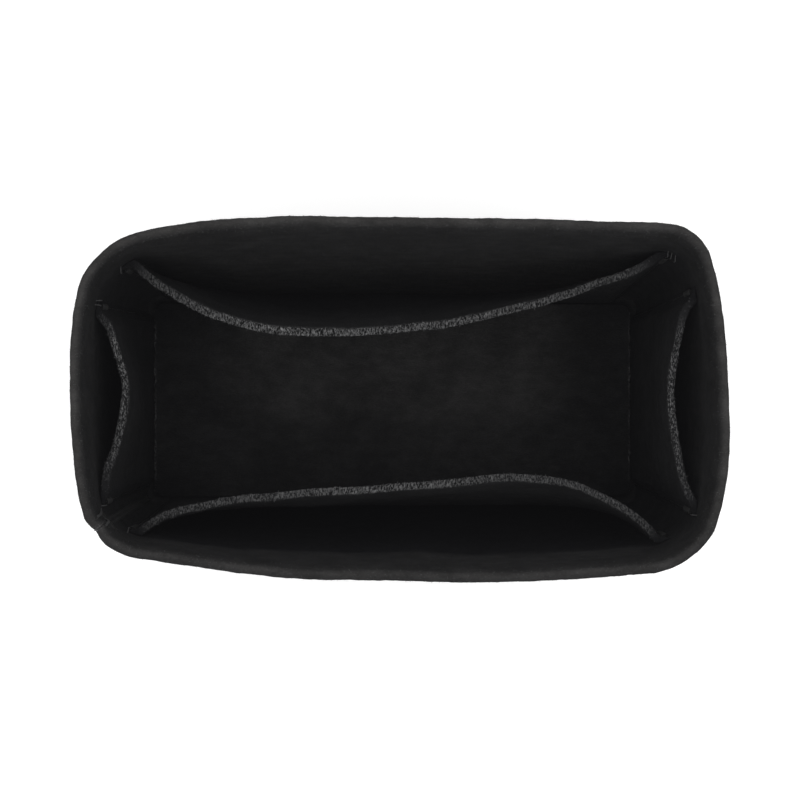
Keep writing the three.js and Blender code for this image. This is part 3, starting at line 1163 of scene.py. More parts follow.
@dataclass(frozen=True)
class Pocket:
    """A felt panel sewn to the wall by its foot and both sides, with its seams, tacks and loose fibres."""

    form: PocketForm
    wall: WallForm
    finishes: Finishes
    seed_step: int = 10
    felt: float = 2.8
    pressed_felt: float = 1.14
    seat_gap: float = 0.3
    floor_top: float = 7.4
    foot_setback: float = 12
    bulge_rise: float = 1.25
    lip_round: float = 0.5
    lip_spacing: float = 0.62
    lip_samples: int = 200
    levels: int = 34
    level_power: float = 0.85
    round_steps: int = 3
    crest_steps: int = 8
    margin_reaches: tuple[float, ...] = (5, 4.9, 4.6, 4.1, 3.6, 3.25, 2.9, 2.4, 1.9, 1.5, 1, 0.5)
    margin_edge: float = 0.08
    margin_gap: float = 0.06
    # Tone of the pressed margins: below zero, so that painted shade is laid on them.
    margin_tone: float = -0.65
    seam_reach: float = 3.25
    stitch_sink: float = 0.05
    stitch_sink_reach: float = 0.35
    waves: Pairs = ((38, 0.34), (15, 0.1))
    waves_seed: int = 1
    waves_full_height: float = 45
    waves_full_station: float = 26
    dents: Pairs = ((5, 0.035), (2.4, 0.02))
    dents_seed: int = 3
    lip_roughness: Pairs = ((1.7, 0.08), (9, 0.12))
    lip_roughness_seed: int = 5
    lip_jags: Pairs = ((1.5, 0.1),)
    lip_jags_seed: int = 15
    rough_depth: float = 1.5
    shoulder_tone: float = 0.45
    cut_fade: float = 0.2
    room_shade_fade: tuple[float, float] = (92, 62)
    foot_shade: float = 0.41
    foot_shade_fade: tuple[float, float] = (34, 9)
    margin_shade: float = 0.3
    margin_shade_stations: float = 16
    end_shade: float = 0.72
    sharp: float = 55
    nap: Nap = Nap(shortest=0.35, longest=0.95, radius=0.08, lean=1.3, shade_power=1.6)
    fibres_seed: int = 7
    fibres_per_mm: float = 9
    fibre_stretches: int = 12
    fewest_fibres_share: float = 0.1
    tack: Tack = Tack()
    tack_seed: int = 8
    tack_drop: float = 7
    tack_lift: float = 0.25
    stitch: float = 3.1
    stitch_gap: float = 0.9
    stitch_top_gap: float = 0.6
    stitch_foot_gap: float = 2
    stitch_sway: tuple[float, float] = (0.08, 0.06)
    stitch_seed: int = 9
    loop_thread: Thread = Thread(radius=0.2)
    loop_steps: int = 18
    loop_reach: float = 4.4
    loop_spacing: float = 1.25
    loop_sway: tuple[float, float] = (0.1, 0.12)
    loop_seed: int = 20
    loop_shade: float = 0.35
    loop_wall_knots: Pairs = ((-0.2, 1.5), (0.25, 1), (0.7, 0.55))
    loop_room_knots: Pairs = ((0.1, 0.35), (0.35, -0.4), (-0.1, -2.6))
    sewn_in_share: float = 1.02

    @property
    def label(self) -> str:
        """Return the name that this pocket's pieces start with."""
        return self.form.side.label + "_pocket"

    @property
    def seed(self) -> int:
        """Return the seed of this pocket's unevenness."""
        return self.seed_step * (1 + list(Side).index(self.form.side))

    @property
    def is_turned(self) -> bool:
        """Return whether the panel's stations are taken from its second end, so that its faces look out."""
        return self.form.side in (Side.BACK, Side.LEFT)

    def end(self, which: int, height: float) -> float:
        """Find where the panel leaves the wall.

        Args:
            which: its first or second end.
            height: the height.

        Returns:
            How far along its side that is.
        """
        half_foot = self.wall.half_along(self.form.side, self.wall.foot)
        foot = HANDS[which] * (half_foot - self.wall.thickness - self.foot_setback)
        lip = self.form.end_shares[which] * self.wall.half_along(self.form.side, self.form.height)
        return lerp(foot, lip, (height - self.wall.foot) / (self.form.height - self.wall.foot))

    def margin(self) -> tuple[Array, Array, Array]:
        """Lay out the pressed margin.

        Returns:
            Places beyond the panel's end, outermost first, the felt's thickness and its gap to the wall.
        """
        reaches = np.array(self.margin_reaches)
        shares = reaches / reaches[0]
        sink = self.stitch_sink * bell((reaches - self.seam_reach) / self.stitch_sink_reach)
        thickness = lerp(self.felt, self.margin_edge, shares) - sink
        return reaches, thickness, lerp(self.seat_gap, self.margin_gap, shares)

    def level(self, height: float, steps: int) -> tuple[Array, Array, Array]:
        """Trace the panel's middle line at a height.

        Args:
            height: the height.
            steps: how many steps the free part of the line has.

        Returns:
            The line in plan, the way that each point faces towards the wall, and the thickness there.
        """
        side, form, wall = self.form.side, self.form, self.wall
        places = [self.end(which, height) for which in (0, 1)]
        lean = max(0.0, (height - self.floor_top) / (form.height - self.floor_top)) ** self.bulge_rise
        seat = wall.thickness + self.seat_gap + self.felt / 2
        start, end = (wall.on_wall(side, height, place, seat) for place in places)
        shares = form.lip(np.linspace(0, 1, steps + 1))
        free = lerp(start, end, shares[:, :1]) - side.out * shares[:, 1:] * lean
        reaches, thickness, gaps = self.margin()
        insets = wall.thickness + gaps + thickness / 2
        first, last = (
            np.array([wall.on_wall(side, height, place + hand * r, i) for r, i in zip(reaches, insets)])
            for place, hand in zip(places, HANDS)
        )
        line = np.concatenate([first, free, last[::-1]])
        thick = np.concatenate([thickness, np.full(len(free), self.felt), thickness[::-1]])
        along = unit(np.gradient(line, axis=0))
        facing = np.stack([along[:, 1], -along[:, 0]], axis=1)
        facing *= np.sign(facing @ side.out)[:, None]
        return line, facing, thick

    def profile(self) -> list[tuple[float, float]]:
        """Lay out the panel's section: up the face towards the wall, over the lip and down the other.

        Returns:
            Each point's place through the felt, from 1 to -1, and its height.
        """
        shoulder = self.form.height - self.lip_round
        share = np.linspace(0, 1, self.levels) ** self.level_power
        heights = [self.wall.foot, *lerp(self.floor_top, shoulder, share)]
        turn = np.linspace(0, math.pi / 2, self.round_steps + 1)[1:]
        crown = 1 - 2 * self.lip_round / self.felt
        rounding = [(lerp(crown, 1, math.cos(a)), shoulder + self.lip_round * math.sin(a)) for a in turn]
        crest = [(x, self.form.height) for x in np.linspace(crown, -crown, self.crest_steps)[1:-1]]
        up = [(1.0, z) for z in heights] + rounding
        return up + crest + [(-x, z) for x, z in reversed(up)]

    @lru_cache(maxsize=None)
    def sections(self) -> tuple[Array, Array]:
        """Lay out the whole panel.

        Returns:
            A ring of points round its section at each station along it, and each point's tone: 1 on a pale
            cut edge, -1 where the most painted shade lies.
        """
        form, profile = self.form, self.profile()
        lip = form.lip(np.linspace(0, 1, self.lip_samples))
        span = self.end(1, form.height) - self.end(0, form.height)
        steps = round(line_lengths(lip * [span, 1]) / self.lip_spacing)
        traced = {z: self.level(z, steps) for z in {z for _, z in profile}}
        tones = read_pairs(form.lip_tones, np.linspace(0, 1, steps + 1))
        # Negative tones on the margins become painted shade.
        tones = np.pad(tones, len(self.margin_reaches), constant_values=self.margin_tone)
        bright = form.lip_width / self.felt
        shoulder, on_shoulder = form.height - self.lip_round, self.lip_round / 10
        columns, facings, edge = [], [], []
        for x, z in profile:
            line, facing, thick = traced[z]
            columns.append(raised(line + facing * (x * thick / 2)[:, None], z))
            facings.append(raised(facing, 0))
            below = self.shoulder_tone if z > shoulder - on_shoulder else 0.0
            rise = 1.0 if z > shoulder + on_shoulder else below
            edge.append(tones * (rise * smooth_step(bright + self.cut_fade, bright, abs(x))))
        across, thin = np.array([x for x, _ in profile]), (thick / self.felt)[:, None]
        grid = self.soften(np.stack(columns, axis=1), np.stack(facings, axis=1), across, thin)
        return grid, np.stack(edge, axis=1)

    def to_end(self, stations: int) -> Array:
        """Return how many stations each station of the panel lies inside its margins."""
        station = np.arange(stations, dtype=float)
        return np.minimum(station, station[::-1]) - len(self.margin_reaches)

    def soften(self, grid: Array, facings: Array, across: Array, thin: Array) -> Array:
        """Give the panel the waves, dents and rough lip of real felt.

        Args:
            grid: its points.
            facings: the way towards the wall at each point.
            across: the place of each point of the section through the thickness, from -1 to 1.
            thin: the thickness at each station, as a share of the free felt's.

        Returns:
            The points, moved.
        """
        away = smooth_step(0, self.waves_full_station, self.to_end(len(grid)))[:, None]
        rise = smooth_step(self.floor_top, self.waves_full_height, grid[..., 2])
        top = smooth_step(self.form.height - self.rough_depth, self.form.height, grid[..., 2])
        off = uneven(grid, self.waves, self.seed + self.waves_seed) * away * rise
        off = off + uneven(grid, self.dents, self.seed + self.dents_seed) * across * thin
        rough = uneven(grid, self.lip_roughness, self.seed + self.lip_roughness_seed)
        off = off + uneven(grid, self.lip_jags, self.seed + self.lip_jags_seed) * top * across
        moved = grid + facings * off[..., None]
        moved[..., 2] += rough * top
        return moved

    def shades(self, grid: Array, edge: Array) -> Array:
        """Find how much painted shade each point of the panel takes: its own shadow, and shade on the margins
        and lip ends.

        Args:
            grid: the panel's points.
            edge: their tones.

        Returns:
            A number from 0 to 1 for each.
        """
        form, height = self.form, grid[..., 2]
        rear = read_pairs(form.rear_shades, form.height - height)
        places = grid[..., :2] @ form.side.run / self.wall.half_along(form.side, self.wall.full_height / 2)
        spots = np.linspace(*form.end_shares, len(form.room_shades))
        room = np.interp(places, spots, form.room_shades) * smooth_step(*self.room_shade_fade, height)
        room = np.maximum(room, self.foot_shade * smooth_step(*self.foot_shade_fade, height))
        near_end = smooth_step(self.margin_shade_stations, 0, self.to_end(len(grid)))[:, None]
        room = np.maximum(room, self.margin_shade * near_end)
        behind = np.arange(grid.shape[1]) <= self.levels
        return np.maximum(np.where(behind, rear, room), self.end_shade * np.maximum(0, -edge))

    def build_panel(self) -> bpy.types.Object:
        """Make the felt panel.

        Returns:
            Its object.
        """
        grid, edge = self.sections()
        if self.is_turned:
            grid, edge = grid[::-1], edge[::-1]
        body = Body().loft(grid, cut=np.maximum(0, edge), shade=self.shades(grid, edge))
        finish = self.finishes.pocket if self.form.side.is_long else self.finishes.end_pocket
        return dress(body.build(self.label + "_felt", finish, self.sharp), "pocket_felt", self.label)

    def build_fibres(self) -> bpy.types.Object:
        """Make the loose fibres along the lip, more of them where its tone is paler.

        Returns:
            Their object.
        """
        grid, _ = self.sections()
        margin = len(self.margin_reaches)
        crest = grid[margin:-margin, self.levels: grid.shape[1] - self.levels]
        ends = np.linspace(0, 1, self.fibre_stretches + 1)
        tones = read_pairs(self.form.lip_tones, ends)
        stations = (ends * (len(crest) - 1)).round().astype(int)
        count = round(line_lengths(crest[:, 0]) * self.fibres_per_mm) / self.fibre_stretches
        patches = []
        for i in range(self.fibre_stretches):
            share = np.clip((tones[i] + tones[i + 1]) / 2, self.fewest_fibres_share, 1)
            patch = crest[stations[i]: stations[i + 1] + 1]
            patches.append((patch[::-1] if self.is_turned else patch, round(count * share)))
        fibres = self.nap.grow(patches, self.seed + self.fibres_seed)
        return dress(fibres.build(self.label + "_lip_fibres", self.finishes.fibre), "pocket_felt")

    def on_margin(self, which: int, height: float, shift: float = 0) -> Array:
        """Find a point on the pressed margin's face.

        Args:
            which: the panel's first or second end.
            height: the height.
            shift: how far along the side it lies from the middle of the margin's width.

        Returns:
            The point.
        """
        place = self.end(which, height) + HANDS[which] * self.seam_reach + shift
        inset = self.wall.thickness + self.margin_gap + self.pressed_felt - self.stitch_sink
        return np.array([*self.wall.on_wall(self.form.side, height, place, inset), height])

    def facing(self, which: int, height: float) -> tuple[Array, Array]:
        """Find how the margin's face lies.

        Args:
            which: the panel's first or second end.
            height: the height.

        Returns:
            The way up the margin, and the way that it faces.
        """
        up = unit(self.on_margin(which, height + 1) - self.on_margin(which, height - 1))
        beside = self.on_margin(which, height, 1) - self.on_margin(which, height, -1)
        facing = unit(np.cross(beside, up))
        return up, facing * np.sign(facing[:2] @ -self.form.side.out)

    def lay_loops(self, body: Body, which: int) -> None:
        """Lay the paler passes of thread that go over the panel's top edge.

        Args:
            body: the body that they are added to.
            which: the panel's first or second end.
        """
        side, top = self.form.side, self.form.height
        wall_face = self.wall.thickness
        room_face = wall_face + self.margin_gap + self.pressed_felt
        knots = [(wall_face + off, rise) for off, rise in self.loop_wall_knots]
        knots += [(room_face + off, rise) for off, rise in self.loop_room_knots]
        draw = np.random.default_rng(self.seed + self.loop_seed + which)
        count = self.form.loops[which]
        for i in range(count):
            reach = self.loop_reach + (i - (count - 1) / 2) * self.loop_spacing
            reach, slant = reach + draw.normal(0, self.loop_sway[0]), draw.normal(0, self.loop_sway[1])
            rows = []
            for step, (inset, rise) in enumerate(knots):
                place = self.end(which, top) + HANDS[which] * (reach + slant * step / 2)
                rows.append([*self.wall.on_wall(side, top + rise, place, inset), top + rise])
            path = smooth_curve(np.array(rows), np.linspace(0, 1, self.loop_steps))
            self.loop_thread.lay(body, path, np.array([*side.run, 0]), self.loop_shade)

    def build_tacks(self) -> None:
        """Make the bar tacks at the panel's upper corners."""
        height = self.form.height - self.tack_drop
        for which, name in enumerate(self.form.side.ends):
            up, facing = self.facing(which, height)
            middle = self.on_margin(which, height) + facing * self.tack_lift
            body = self.tack.sew(middle, up, facing, self.seed + self.tack_seed + which)
            self.lay_loops(body, which)
            node = f"{self.label}_tack_{name}"
            dress(body.build(node + "_thread", self.finishes.thread), "thread", node)

    def build_seams(self) -> None:
        """Make the rows of stitches down both margins."""
        body, thread = Body(), Thread()
        draw = np.random.default_rng(self.seed + self.stitch_seed)
        pitch_sway, side_sway = self.stitch_sway
        for which in (0, 1):
            top = self.form.height - self.tack_drop - self.tack.length / 2 - self.stitch_top_gap
            while top - self.stitch > self.wall.foot + self.stitch_foot_gap:
                bottom = top - self.stitch + draw.normal(0, pitch_sway)
                _, facing = self.facing(which, (top + bottom) / 2)
                shifts = draw.normal(0, side_sway, 2)
                start, end = (self.on_margin(which, z, s) for z, s in zip((top, bottom), shifts))
                thread.stitch(body, start, end, facing)
                top = bottom - self.stitch_gap
        dress(body.build(self.label + "_side_seams", self.finishes.thread), "thread")

    def flat_cut(self) -> Triple:
        """Measure the felt before it was sewn.

        Returns:
            Its width, its height and its area, in metres.
        """
        grid, _ = self.sections()
        face = grid[:, : self.levels + 1]
        runs, rises = line_lengths(face), line_lengths(face, axis=1)
        area = np.sum((runs[1:] + runs[:-1]) / 2 * np.diff(face[0, :, 2])) * MM * MM
        width, height = runs.max() * MM, rises.max() * MM
        return width, height, min(area * self.sewn_in_share, width * height)

    def build(self) -> None:
        """Make the whole pocket."""
        panel, fibres = self.build_panel(), self.build_fibres()
        self.build_seams()
        self.build_tacks()
        width, height, area = self.flat_cut()
        sizes = (width / MM, height / MM, area / MM**2 / 100)
        log.info("%s cut: %.0f by %.0f mm, %.1f square centimetres", self.label, *sizes)


@dataclass(frozen=True)
class Wall:
    """The folded strip with its corner seam, the thread in it and the fibres along its rim.

    The shares of wear and painted highlight on the rim's fold go with the distance in from the outer face,
    and the shares of painted light behind the back pocket with the height. A deep line is the heights of a
    pocket's painted shadow along the wall, its softness and its depth.
    """

    form: WallForm
    finishes: Finishes
    levels: int = 31
    level_power: float = 0.8
    fold_steps: int = 14
    sharp: float = 60
    dents: Pairs = ((6, 0.05), (2.6, 0.03))
    dents_seed: int = 2
    rim_waves: Pairs = ((24, 0.22), (3.2, 0.06))
    rim_waves_seed: int = 4
    rim_waves_depth: float = 2.5
    nap: Nap = Nap(shortest=0.3, longest=0.9, radius=0.05, lean=1.2)
    nap_levels: int = 3
    rim_fibres: int = 3600
    rim_fibres_seed: int = 8
    # Lighter nap on the rim's fold, by inset: partly real brushed nap, partly a painted highlight where the
    # fold faces up.
    worn_shares: Pairs = (
        (0, 0.42), (0.5, 0.66), (1, 0.86), (1.5, 0.94), (2, 0.86), (2.5, 0.62), (3, 0.36), (3.6, 0.13),
    )
    # Less of it on the front rim, where the painted highlight is weaker.
    front_worn_shares: Pairs = (
        (0, 0), (0.5, 0.12), (1, 0.24), (1.6, 0.42), (2.3, 0.66), (2.8, 0.64), (3.2, 0.48), (3.6, 0.26),
    )
    front_worn_range: tuple[float, float] = (25, 52)
    fold_worn_drops: tuple[float, float] = (8, 1.6)
    # Painted light on the inner face behind the back pocket, by height.
    painted_light_shares: Pairs = ((0, 0.35), (15, 0.5), (35, 0.52), (60, 0.47), (90, 0))
    painted_light_more_share: float = 1.9
    painted_light_more_range: tuple[float, float] = (5, 45)
    painted_light_fade: tuple[float, float] = (97, 80)
    painted_light_from: float = 30
    deep_lines: tuple[tuple[tuple[float, ...], float, float], ...] = (
        ((20,), 10, 0), ((98.8, 94.8, 94.2), 2.4, 1), ((87.5,), 9, 0.4), ((80.5,), 8.5, 0.34),
    )
    deep_waves: Pairs = ((22, 0.8),)
    deep_waves_seed: int = 6
    deep_end_fade: tuple[float, float] = (1, -9)
    deep_reach: float = 12
    # Painted shade in the corners of the inner face.
    wall_corner_shade: float = 0.45
    corner_fade: tuple[float, float] = (110, 94)
    raw_end_tones: tuple[float, float] = (0.12, 0.6)
    raw_end_range: tuple[float, float] = (100, 114)
    zigzag_thread: Thread = Thread(radius=0.2)
    zigzag_pitch: float = 1.5
    zigzag_reach: float = 1.9
    zigzag_depth: float = 0.35
    zigzag_outer_run: tuple[float, float] = (5.5, 117)
    zigzag_inner_run: tuple[float, float] = (9, 116)
    tack: Tack = Tack(passes=19)
    tack_seed: int = 9
    tack_drop: float = 12
    tack_sight: float = 2
    top_drop: float = 2
    tail_thread: Thread = Thread(radius=0.16)
    tail_drop: float = 1.2
    tail_start: float = 0.4
    tail_length: float = 1.6
    tail_arch: float = 1.1
    tail_arch_turn: float = 2.4
    tail_offset: float = 0.3
    tail_steps: int = 12
    tail_swerve: float = 0.9
    slack_thread: Thread = Thread(radius=0.24)
    slack_shade: float = 0.5
    slack_gap: float = 0.22
    slack_steps: int = 24
    slack_runs: tuple[tuple[Triple, ...], ...] = (
        ((106.5, 0, -5.2), (109.5, 0.3, -4.1), (113, 0.4, -3.6), (117, -0.2, -3.6), (118.8, -1.3, -3.3),
         (118.6, -1.8, -3.2)),
        ((109.5, 0, -1.6), (111.5, 0.5, -0.2), (115, 0.4, 0.4), (118, -0.7, 0.7), (119.3, -1.8, 0.9),
         (118.2, -3.1, 0.9)),
    )

    def face(self, radius: float) -> list[tuple[float, float]]:
        """Lay out one face of the folded strip: up its outer leg, over the fold and down its inner leg.

        Args:
            radius: how far the face lies from the middle of the wall.

        Returns:
            Its points, as inset and height.
        """
        middle = self.form.thickness / 2
        fold_foot = self.form.full_height - middle
        heights = lerp(self.form.foot, fold_foot, np.linspace(0, 1, self.levels) ** self.level_power)
        turn = np.linspace(0, math.pi, self.fold_steps + 1)[1:-1]
        up = [(middle - radius, z) for z in heights]
        over = [(middle - radius * math.cos(a), fold_foot + radius * math.sin(a)) for a in turn]
        return up + over + [(middle + radius, z) for z in reversed(heights)]

    def profile(self) -> Array:
        """Return the strip's section as insets and heights, round its outside and back up its slit."""
        return np.array(self.face(self.form.thickness / 2) + self.face(self.form.fold_slit / 2)[::-1]).T

    @lru_cache(maxsize=None)
    def sections(self) -> Array:
        """Lay out the strip.

        Returns:
            A ring of points round its section at each station, from the seam round to the seam.
        """
        columns = []
        for inset, z in self.profile().T:
            outline = self.form.outline(float(z))
            column = raised(outline.inset(inset), z)
            column[:, 2] -= self.form.seam_dip(z) * outline.near_seam**2
            columns.append(column)
        return self.soften(np.stack(columns, axis=1))

    def soften(self, grid: Array) -> Array:
        """Give the strip the unevenness of real felt.

        Args:
            grid: its points.

        Returns:
            The points, moved.
        """
        form, (insets, heights) = self.form, self.profile()
        normals = np.stack([raised(form.outline(float(z)).normals, 0) for z in heights], axis=1)
        side = np.where(insets < form.thickness / 2, 1.0, -1.0)
        side[len(side) // 2:] = 0
        moved = grid + normals * (uneven(grid, self.dents, self.dents_seed) * side)[..., None]
        top = smooth_step(form.full_height - self.rim_waves_depth, form.full_height, grid[..., 2])
        moved[..., 2] += uneven(grid, self.rim_waves, self.rim_waves_seed) * top
        return moved

    def worn(self, grid: Array) -> Array:
        """Find where the felt is made lighter: brushed nap with a painted highlight over the rim's fold, and
        painted light on the inner face behind the back pocket.

        Args:
            grid: the strip's points.

        Returns:
            A number from 0 to 1 for each.
        """
        insets, heights = self.profile()
        rim = self.form.full_height
        # The rim's fold: brushed nap with a painted highlight, less of it on the front.
        plain, front = (read_pairs(shares, insets) for shares in (self.worn_shares, self.front_worn_shares))
        fold = smooth_step(*(rim - drop for drop in self.fold_worn_drops), heights)
        mark = lerp(plain, front, smooth_step(*self.front_worn_range, -grid[..., 1])) * fold
        # Painted light on the inner face behind the back pocket, stronger towards the right.
        more = lerp(1, self.painted_light_more_share, smooth_step(*self.painted_light_more_range, grid[..., 0]))
        painted_light = np.minimum(read_pairs(self.painted_light_shares, heights) * more, 1)
        behind = smooth_step(*self.painted_light_fade, np.abs(grid[..., 0])) * (grid[..., 1] > self.painted_light_from)
        return np.maximum(mark, painted_light * behind * (insets > self.form.thickness / 2))

    def painted_shadow(self, grid: Array) -> Array:
        """Paint shade on the inner face: the shadow that each pocket casts behind it, and painted shade in
        the corners below the rim.

        Args:
            grid: the strip's points.

        Returns:
            A number from 0 to 1 for each.
        """
        form, height = self.form, grid[..., 2]
        # Painted shade in the corners, below the rim.
        mark = self.wall_corner_shade * smooth_step(*self.corner_fade, height)
        waves = uneven(grid, self.deep_waves, self.deep_waves_seed)
        for pocket, (heights, reach, depth) in zip(POCKETS, self.deep_lines):
            side = pocket.side
            outward, along = grid[..., :2] @ side.out, grid[..., :2] @ side.run
            span = abs(pocket.end_shares[0]) * form.half_along(side, pocket.height)
            crosswise = Side.LEFT if side.is_long else Side.BACK
            inside = form.half_along(crosswise, pocket.height) - self.deep_reach
            behind = smooth_step(*(span + past for past in self.deep_end_fade), np.abs(along))
            line = np.interp(along / span, np.linspace(-1, 1, len(heights)), heights) + waves
            # Painted shadow of the pocket on the wall behind it, under a wavy line.
            shadow = depth * smooth_step(line + reach, line - reach, height)
            mark = lerp(mark, shadow, behind * (outward > inside))
        inner = self.profile()[0] > form.thickness / 2
        inner[len(inner) // 2:] = False
        return mark * inner

    def build_strip(self) -> bpy.types.Object:
        """Make the folded strip, its raw ends paler towards the rim.

        Returns:
            Its object.
        """
        grid = self.sections()
        raw = lerp(*self.raw_end_tones, smooth_step(*self.raw_end_range, grid[..., 2]))
        raw[1:-1] = 0
        body = Body().loft(grid, cut=raw, worn=self.worn(grid), shade=self.painted_shadow(grid))
        return dress(body.build("wall_felt", self.finishes.wall, self.sharp), "wall_felt", "wall_strip")

    def build_fibres(self) -> bpy.types.Object:
        """Make the loose fibres along the rim.

        Returns:
            Their object.
        """
        grid = self.sections()
        first = self.levels - self.nap_levels
        patch = grid[:, first: grid.shape[1] // 2 - first]
        fibres = self.nap.grow([(patch, self.rim_fibres)], self.rim_fibres_seed)
        return dress(fibres.build("rim_fibres", self.finishes.fibre), "wall_felt")

    def seam_point(self, height: float, inset: float, reach: float) -> Array:
        """Find a point beside the corner seam.

        Args:
            height: its height.
            inset: how far in from the outer face it lies.
            reach: how far along the wall it lies from the seam, to one hand or the other.

        Returns:
            The point.
        """
        points = self.form.outline(height).inset(inset)
        half = len(points) // 2
        ring = np.roll(points, -half, axis=0)
        run = run_along(ring)
        place = pass_at(run[len(points) - half] + reach, run, ring)
        return np.array([*place, height - self.form.seam_dip(height)])

    def seam_out(self, height: float) -> Array:
        """Return the way out through the corner seam at a height."""
        return np.array([*self.form.outline(height).normals[0], 0])

    def build_seam(self) -> None:
        """Make the zigzag that closes the corner seam, outside and inside."""
        body, pitch = Body(), self.zigzag_pitch
        out = self.seam_out(self.form.full_height / 2)
        faces = ((0, out, self.zigzag_outer_run), (self.form.thickness, -out, self.zigzag_inner_run))
        for inset, facing, (height, high) in faces:
            reach = self.zigzag_reach
            while height + pitch < high:
                start = self.seam_point(height, inset, reach)
                end = self.seam_point(height + pitch, inset, -reach)
                self.zigzag_thread.stitch(body, start, end, facing, self.zigzag_depth)
                height, reach = height + pitch, -reach
        dress(body.build("corner_seam_zigzag", self.finishes.thread), "thread")

    def build_tack(self) -> None:
        """Make the bar tack across the inside of the corner seam."""
        height, sight = self.form.full_height - self.tack_drop, self.tack_sight
        left, right = (self.seam_point(height, self.form.thickness, reach) for reach in (-sight, sight))
        middle, way = (left + right) / 2, unit(right - left)
        body = self.tack.sew(middle, way, -self.seam_out(height), self.tack_seed)
        dress(body.build("corner_seam_tack_thread", self.finishes.thread), "thread", "corner_seam_tack")

    def build_tail(self) -> None:
        """Make the short pale thread end that stands in the notch of the seam."""
        notch = self.seam_point(self.form.full_height - self.tail_drop, self.form.thickness / 2, 0)
        out, up = self.seam_out(self.form.full_height - self.top_drop), np.array([0, 0, 1])
        shares = np.linspace(0, 1, self.tail_steps)[:, None]
        path = notch + out * (self.tail_start + self.tail_length * shares)
        path = path + up * (np.sin(shares * self.tail_arch_turn) * self.tail_arch - self.tail_offset)
        path = path + np.cross(out, up) * (self.tail_swerve * shares**2 - self.tail_offset)
        body = Body()
        self.tail_thread.lay(body, path, out)
        dress(body.build("corner_thread_end", self.finishes.pale_thread), "thread")

    def build_slack(self) -> None:
        """Make the slack loops of thread inside the corner, beside the seam's upper end."""
        body, inner = Body(), self.form.thickness
        out = self.seam_out(self.form.full_height - self.top_drop)
        for knots in self.slack_runs:
            for shift in (-self.slack_gap, self.slack_gap):
                path = [self.seam_point(height, inner + off, reach + shift) for height, off, reach in knots]
                path = smooth_curve(np.array(path), np.linspace(0, 1, self.slack_steps))
                self.slack_thread.lay(body, path, -out, self.slack_shade)
        dress(body.build("corner_thread_loops", self.finishes.thread), "thread")

    def build(self) -> None:
        """Make the whole wall."""
        strip, fibres = self.build_strip(), self.build_fibres()
        self.build_seam()
        self.build_tack()
        self.build_tail()
        self.build_slack()
        grid = self.sections()


@dataclass(frozen=True)
class Slab:
    """A flat felt or board with rounded corners and softened edges."""

    length: float
    width: float
    radius: float
    foot: float
    thickness: float
    edge: float = 0.7
    edge_steps: int = 4
    corner_steps: int = 8
    spacing: float = 1.3
    cut_range: tuple[float, float] = (1.3, 0.5)

    def risen(self, distance: float | Array, radius: float) -> float | Array:
        """Return the share to which a round has risen, at a distance in from where it starts."""
        return np.sqrt(np.maximum(0, 1 - (1 - np.minimum(1, distance / radius)) ** 2))

    def grid(self) -> tuple[Array, Array]:
        """Lay out the slab.

        Returns:
            Rings of points from the left end to the right, each along the top and back underneath,
            and how far each point lies on a cut edge.
        """
        edges = self.edge * (1 - np.cos(np.linspace(0, math.pi / 2, self.edge_steps + 1)))
        corner = self.radius * (1 - np.cos(np.linspace(0, math.pi / 2, self.corner_steps + 1)))
        ends = np.unique(np.concatenate([edges, corner]).round(4))
        half_length, half_width = self.length / 2, self.width / 2
        straight = half_length - ends[-1]
        middle = np.linspace(-straight, straight, round(2 * straight / self.spacing) + 1)[1:-1]
        inner = np.linspace(-1, 1, round(self.width / self.spacing) + 1)[1:-1]
        rings, cuts = [], []
        for x in [*(ends - half_length), *middle, *(half_length - ends)[::-1]]:
            to_end = half_length - abs(x)
            half = half_width - self.radius * (1 - self.risen(to_end, self.radius))
            ys = np.concatenate([edges - half, inner * (half - self.edge), (half - edges)[::-1]])
            to_side = half - np.abs(ys)
            drop = self.edge * (1 - self.risen(to_side, self.edge) * self.risen(to_end, self.edge))
            plan = np.column_stack([np.full(len(ys), x), ys])
            top = np.column_stack([plan, self.foot + self.thickness - drop])
            bottom = np.column_stack([plan, self.foot + drop])
            rings.append(np.concatenate([top[::-1], bottom]))
            near = smooth_step(*self.cut_range, np.minimum(to_side, to_end))
            cuts.append(np.concatenate([near[::-1], near]))
        return np.stack(rings), np.stack(cuts)


@dataclass(frozen=True)
class Crease:
    """A shallow groove in the floor that runs along x, or along y, and fades in and out on its way."""

    start: tuple[float, float]
    width: float
    depth: float
    fade_in: tuple[float, float]
    fade_out: tuple[float, float]
    slope: float = 0
    sway: float = 0
    sway_length: float = 17
    runs_along_y: bool = False

    def height(self, x: Array, y: Array) -> Array:
        """Find how far the groove moves the felt.

        Args:
            x: places along the floor's length.
            y: places along its width.

        Returns:
            A negative height at each place.
        """
        along, across = (y, x) if self.runs_along_y else (x, y)
        middle = self.start[1] + self.slope * (along - self.start[0])
        middle = middle + self.sway * np.sin(along / self.sway_length)
        fade = smooth_step(*self.fade_in, along) * smooth_step(*self.fade_out, along)
        return -self.depth * bell((across - middle) / self.width) * fade


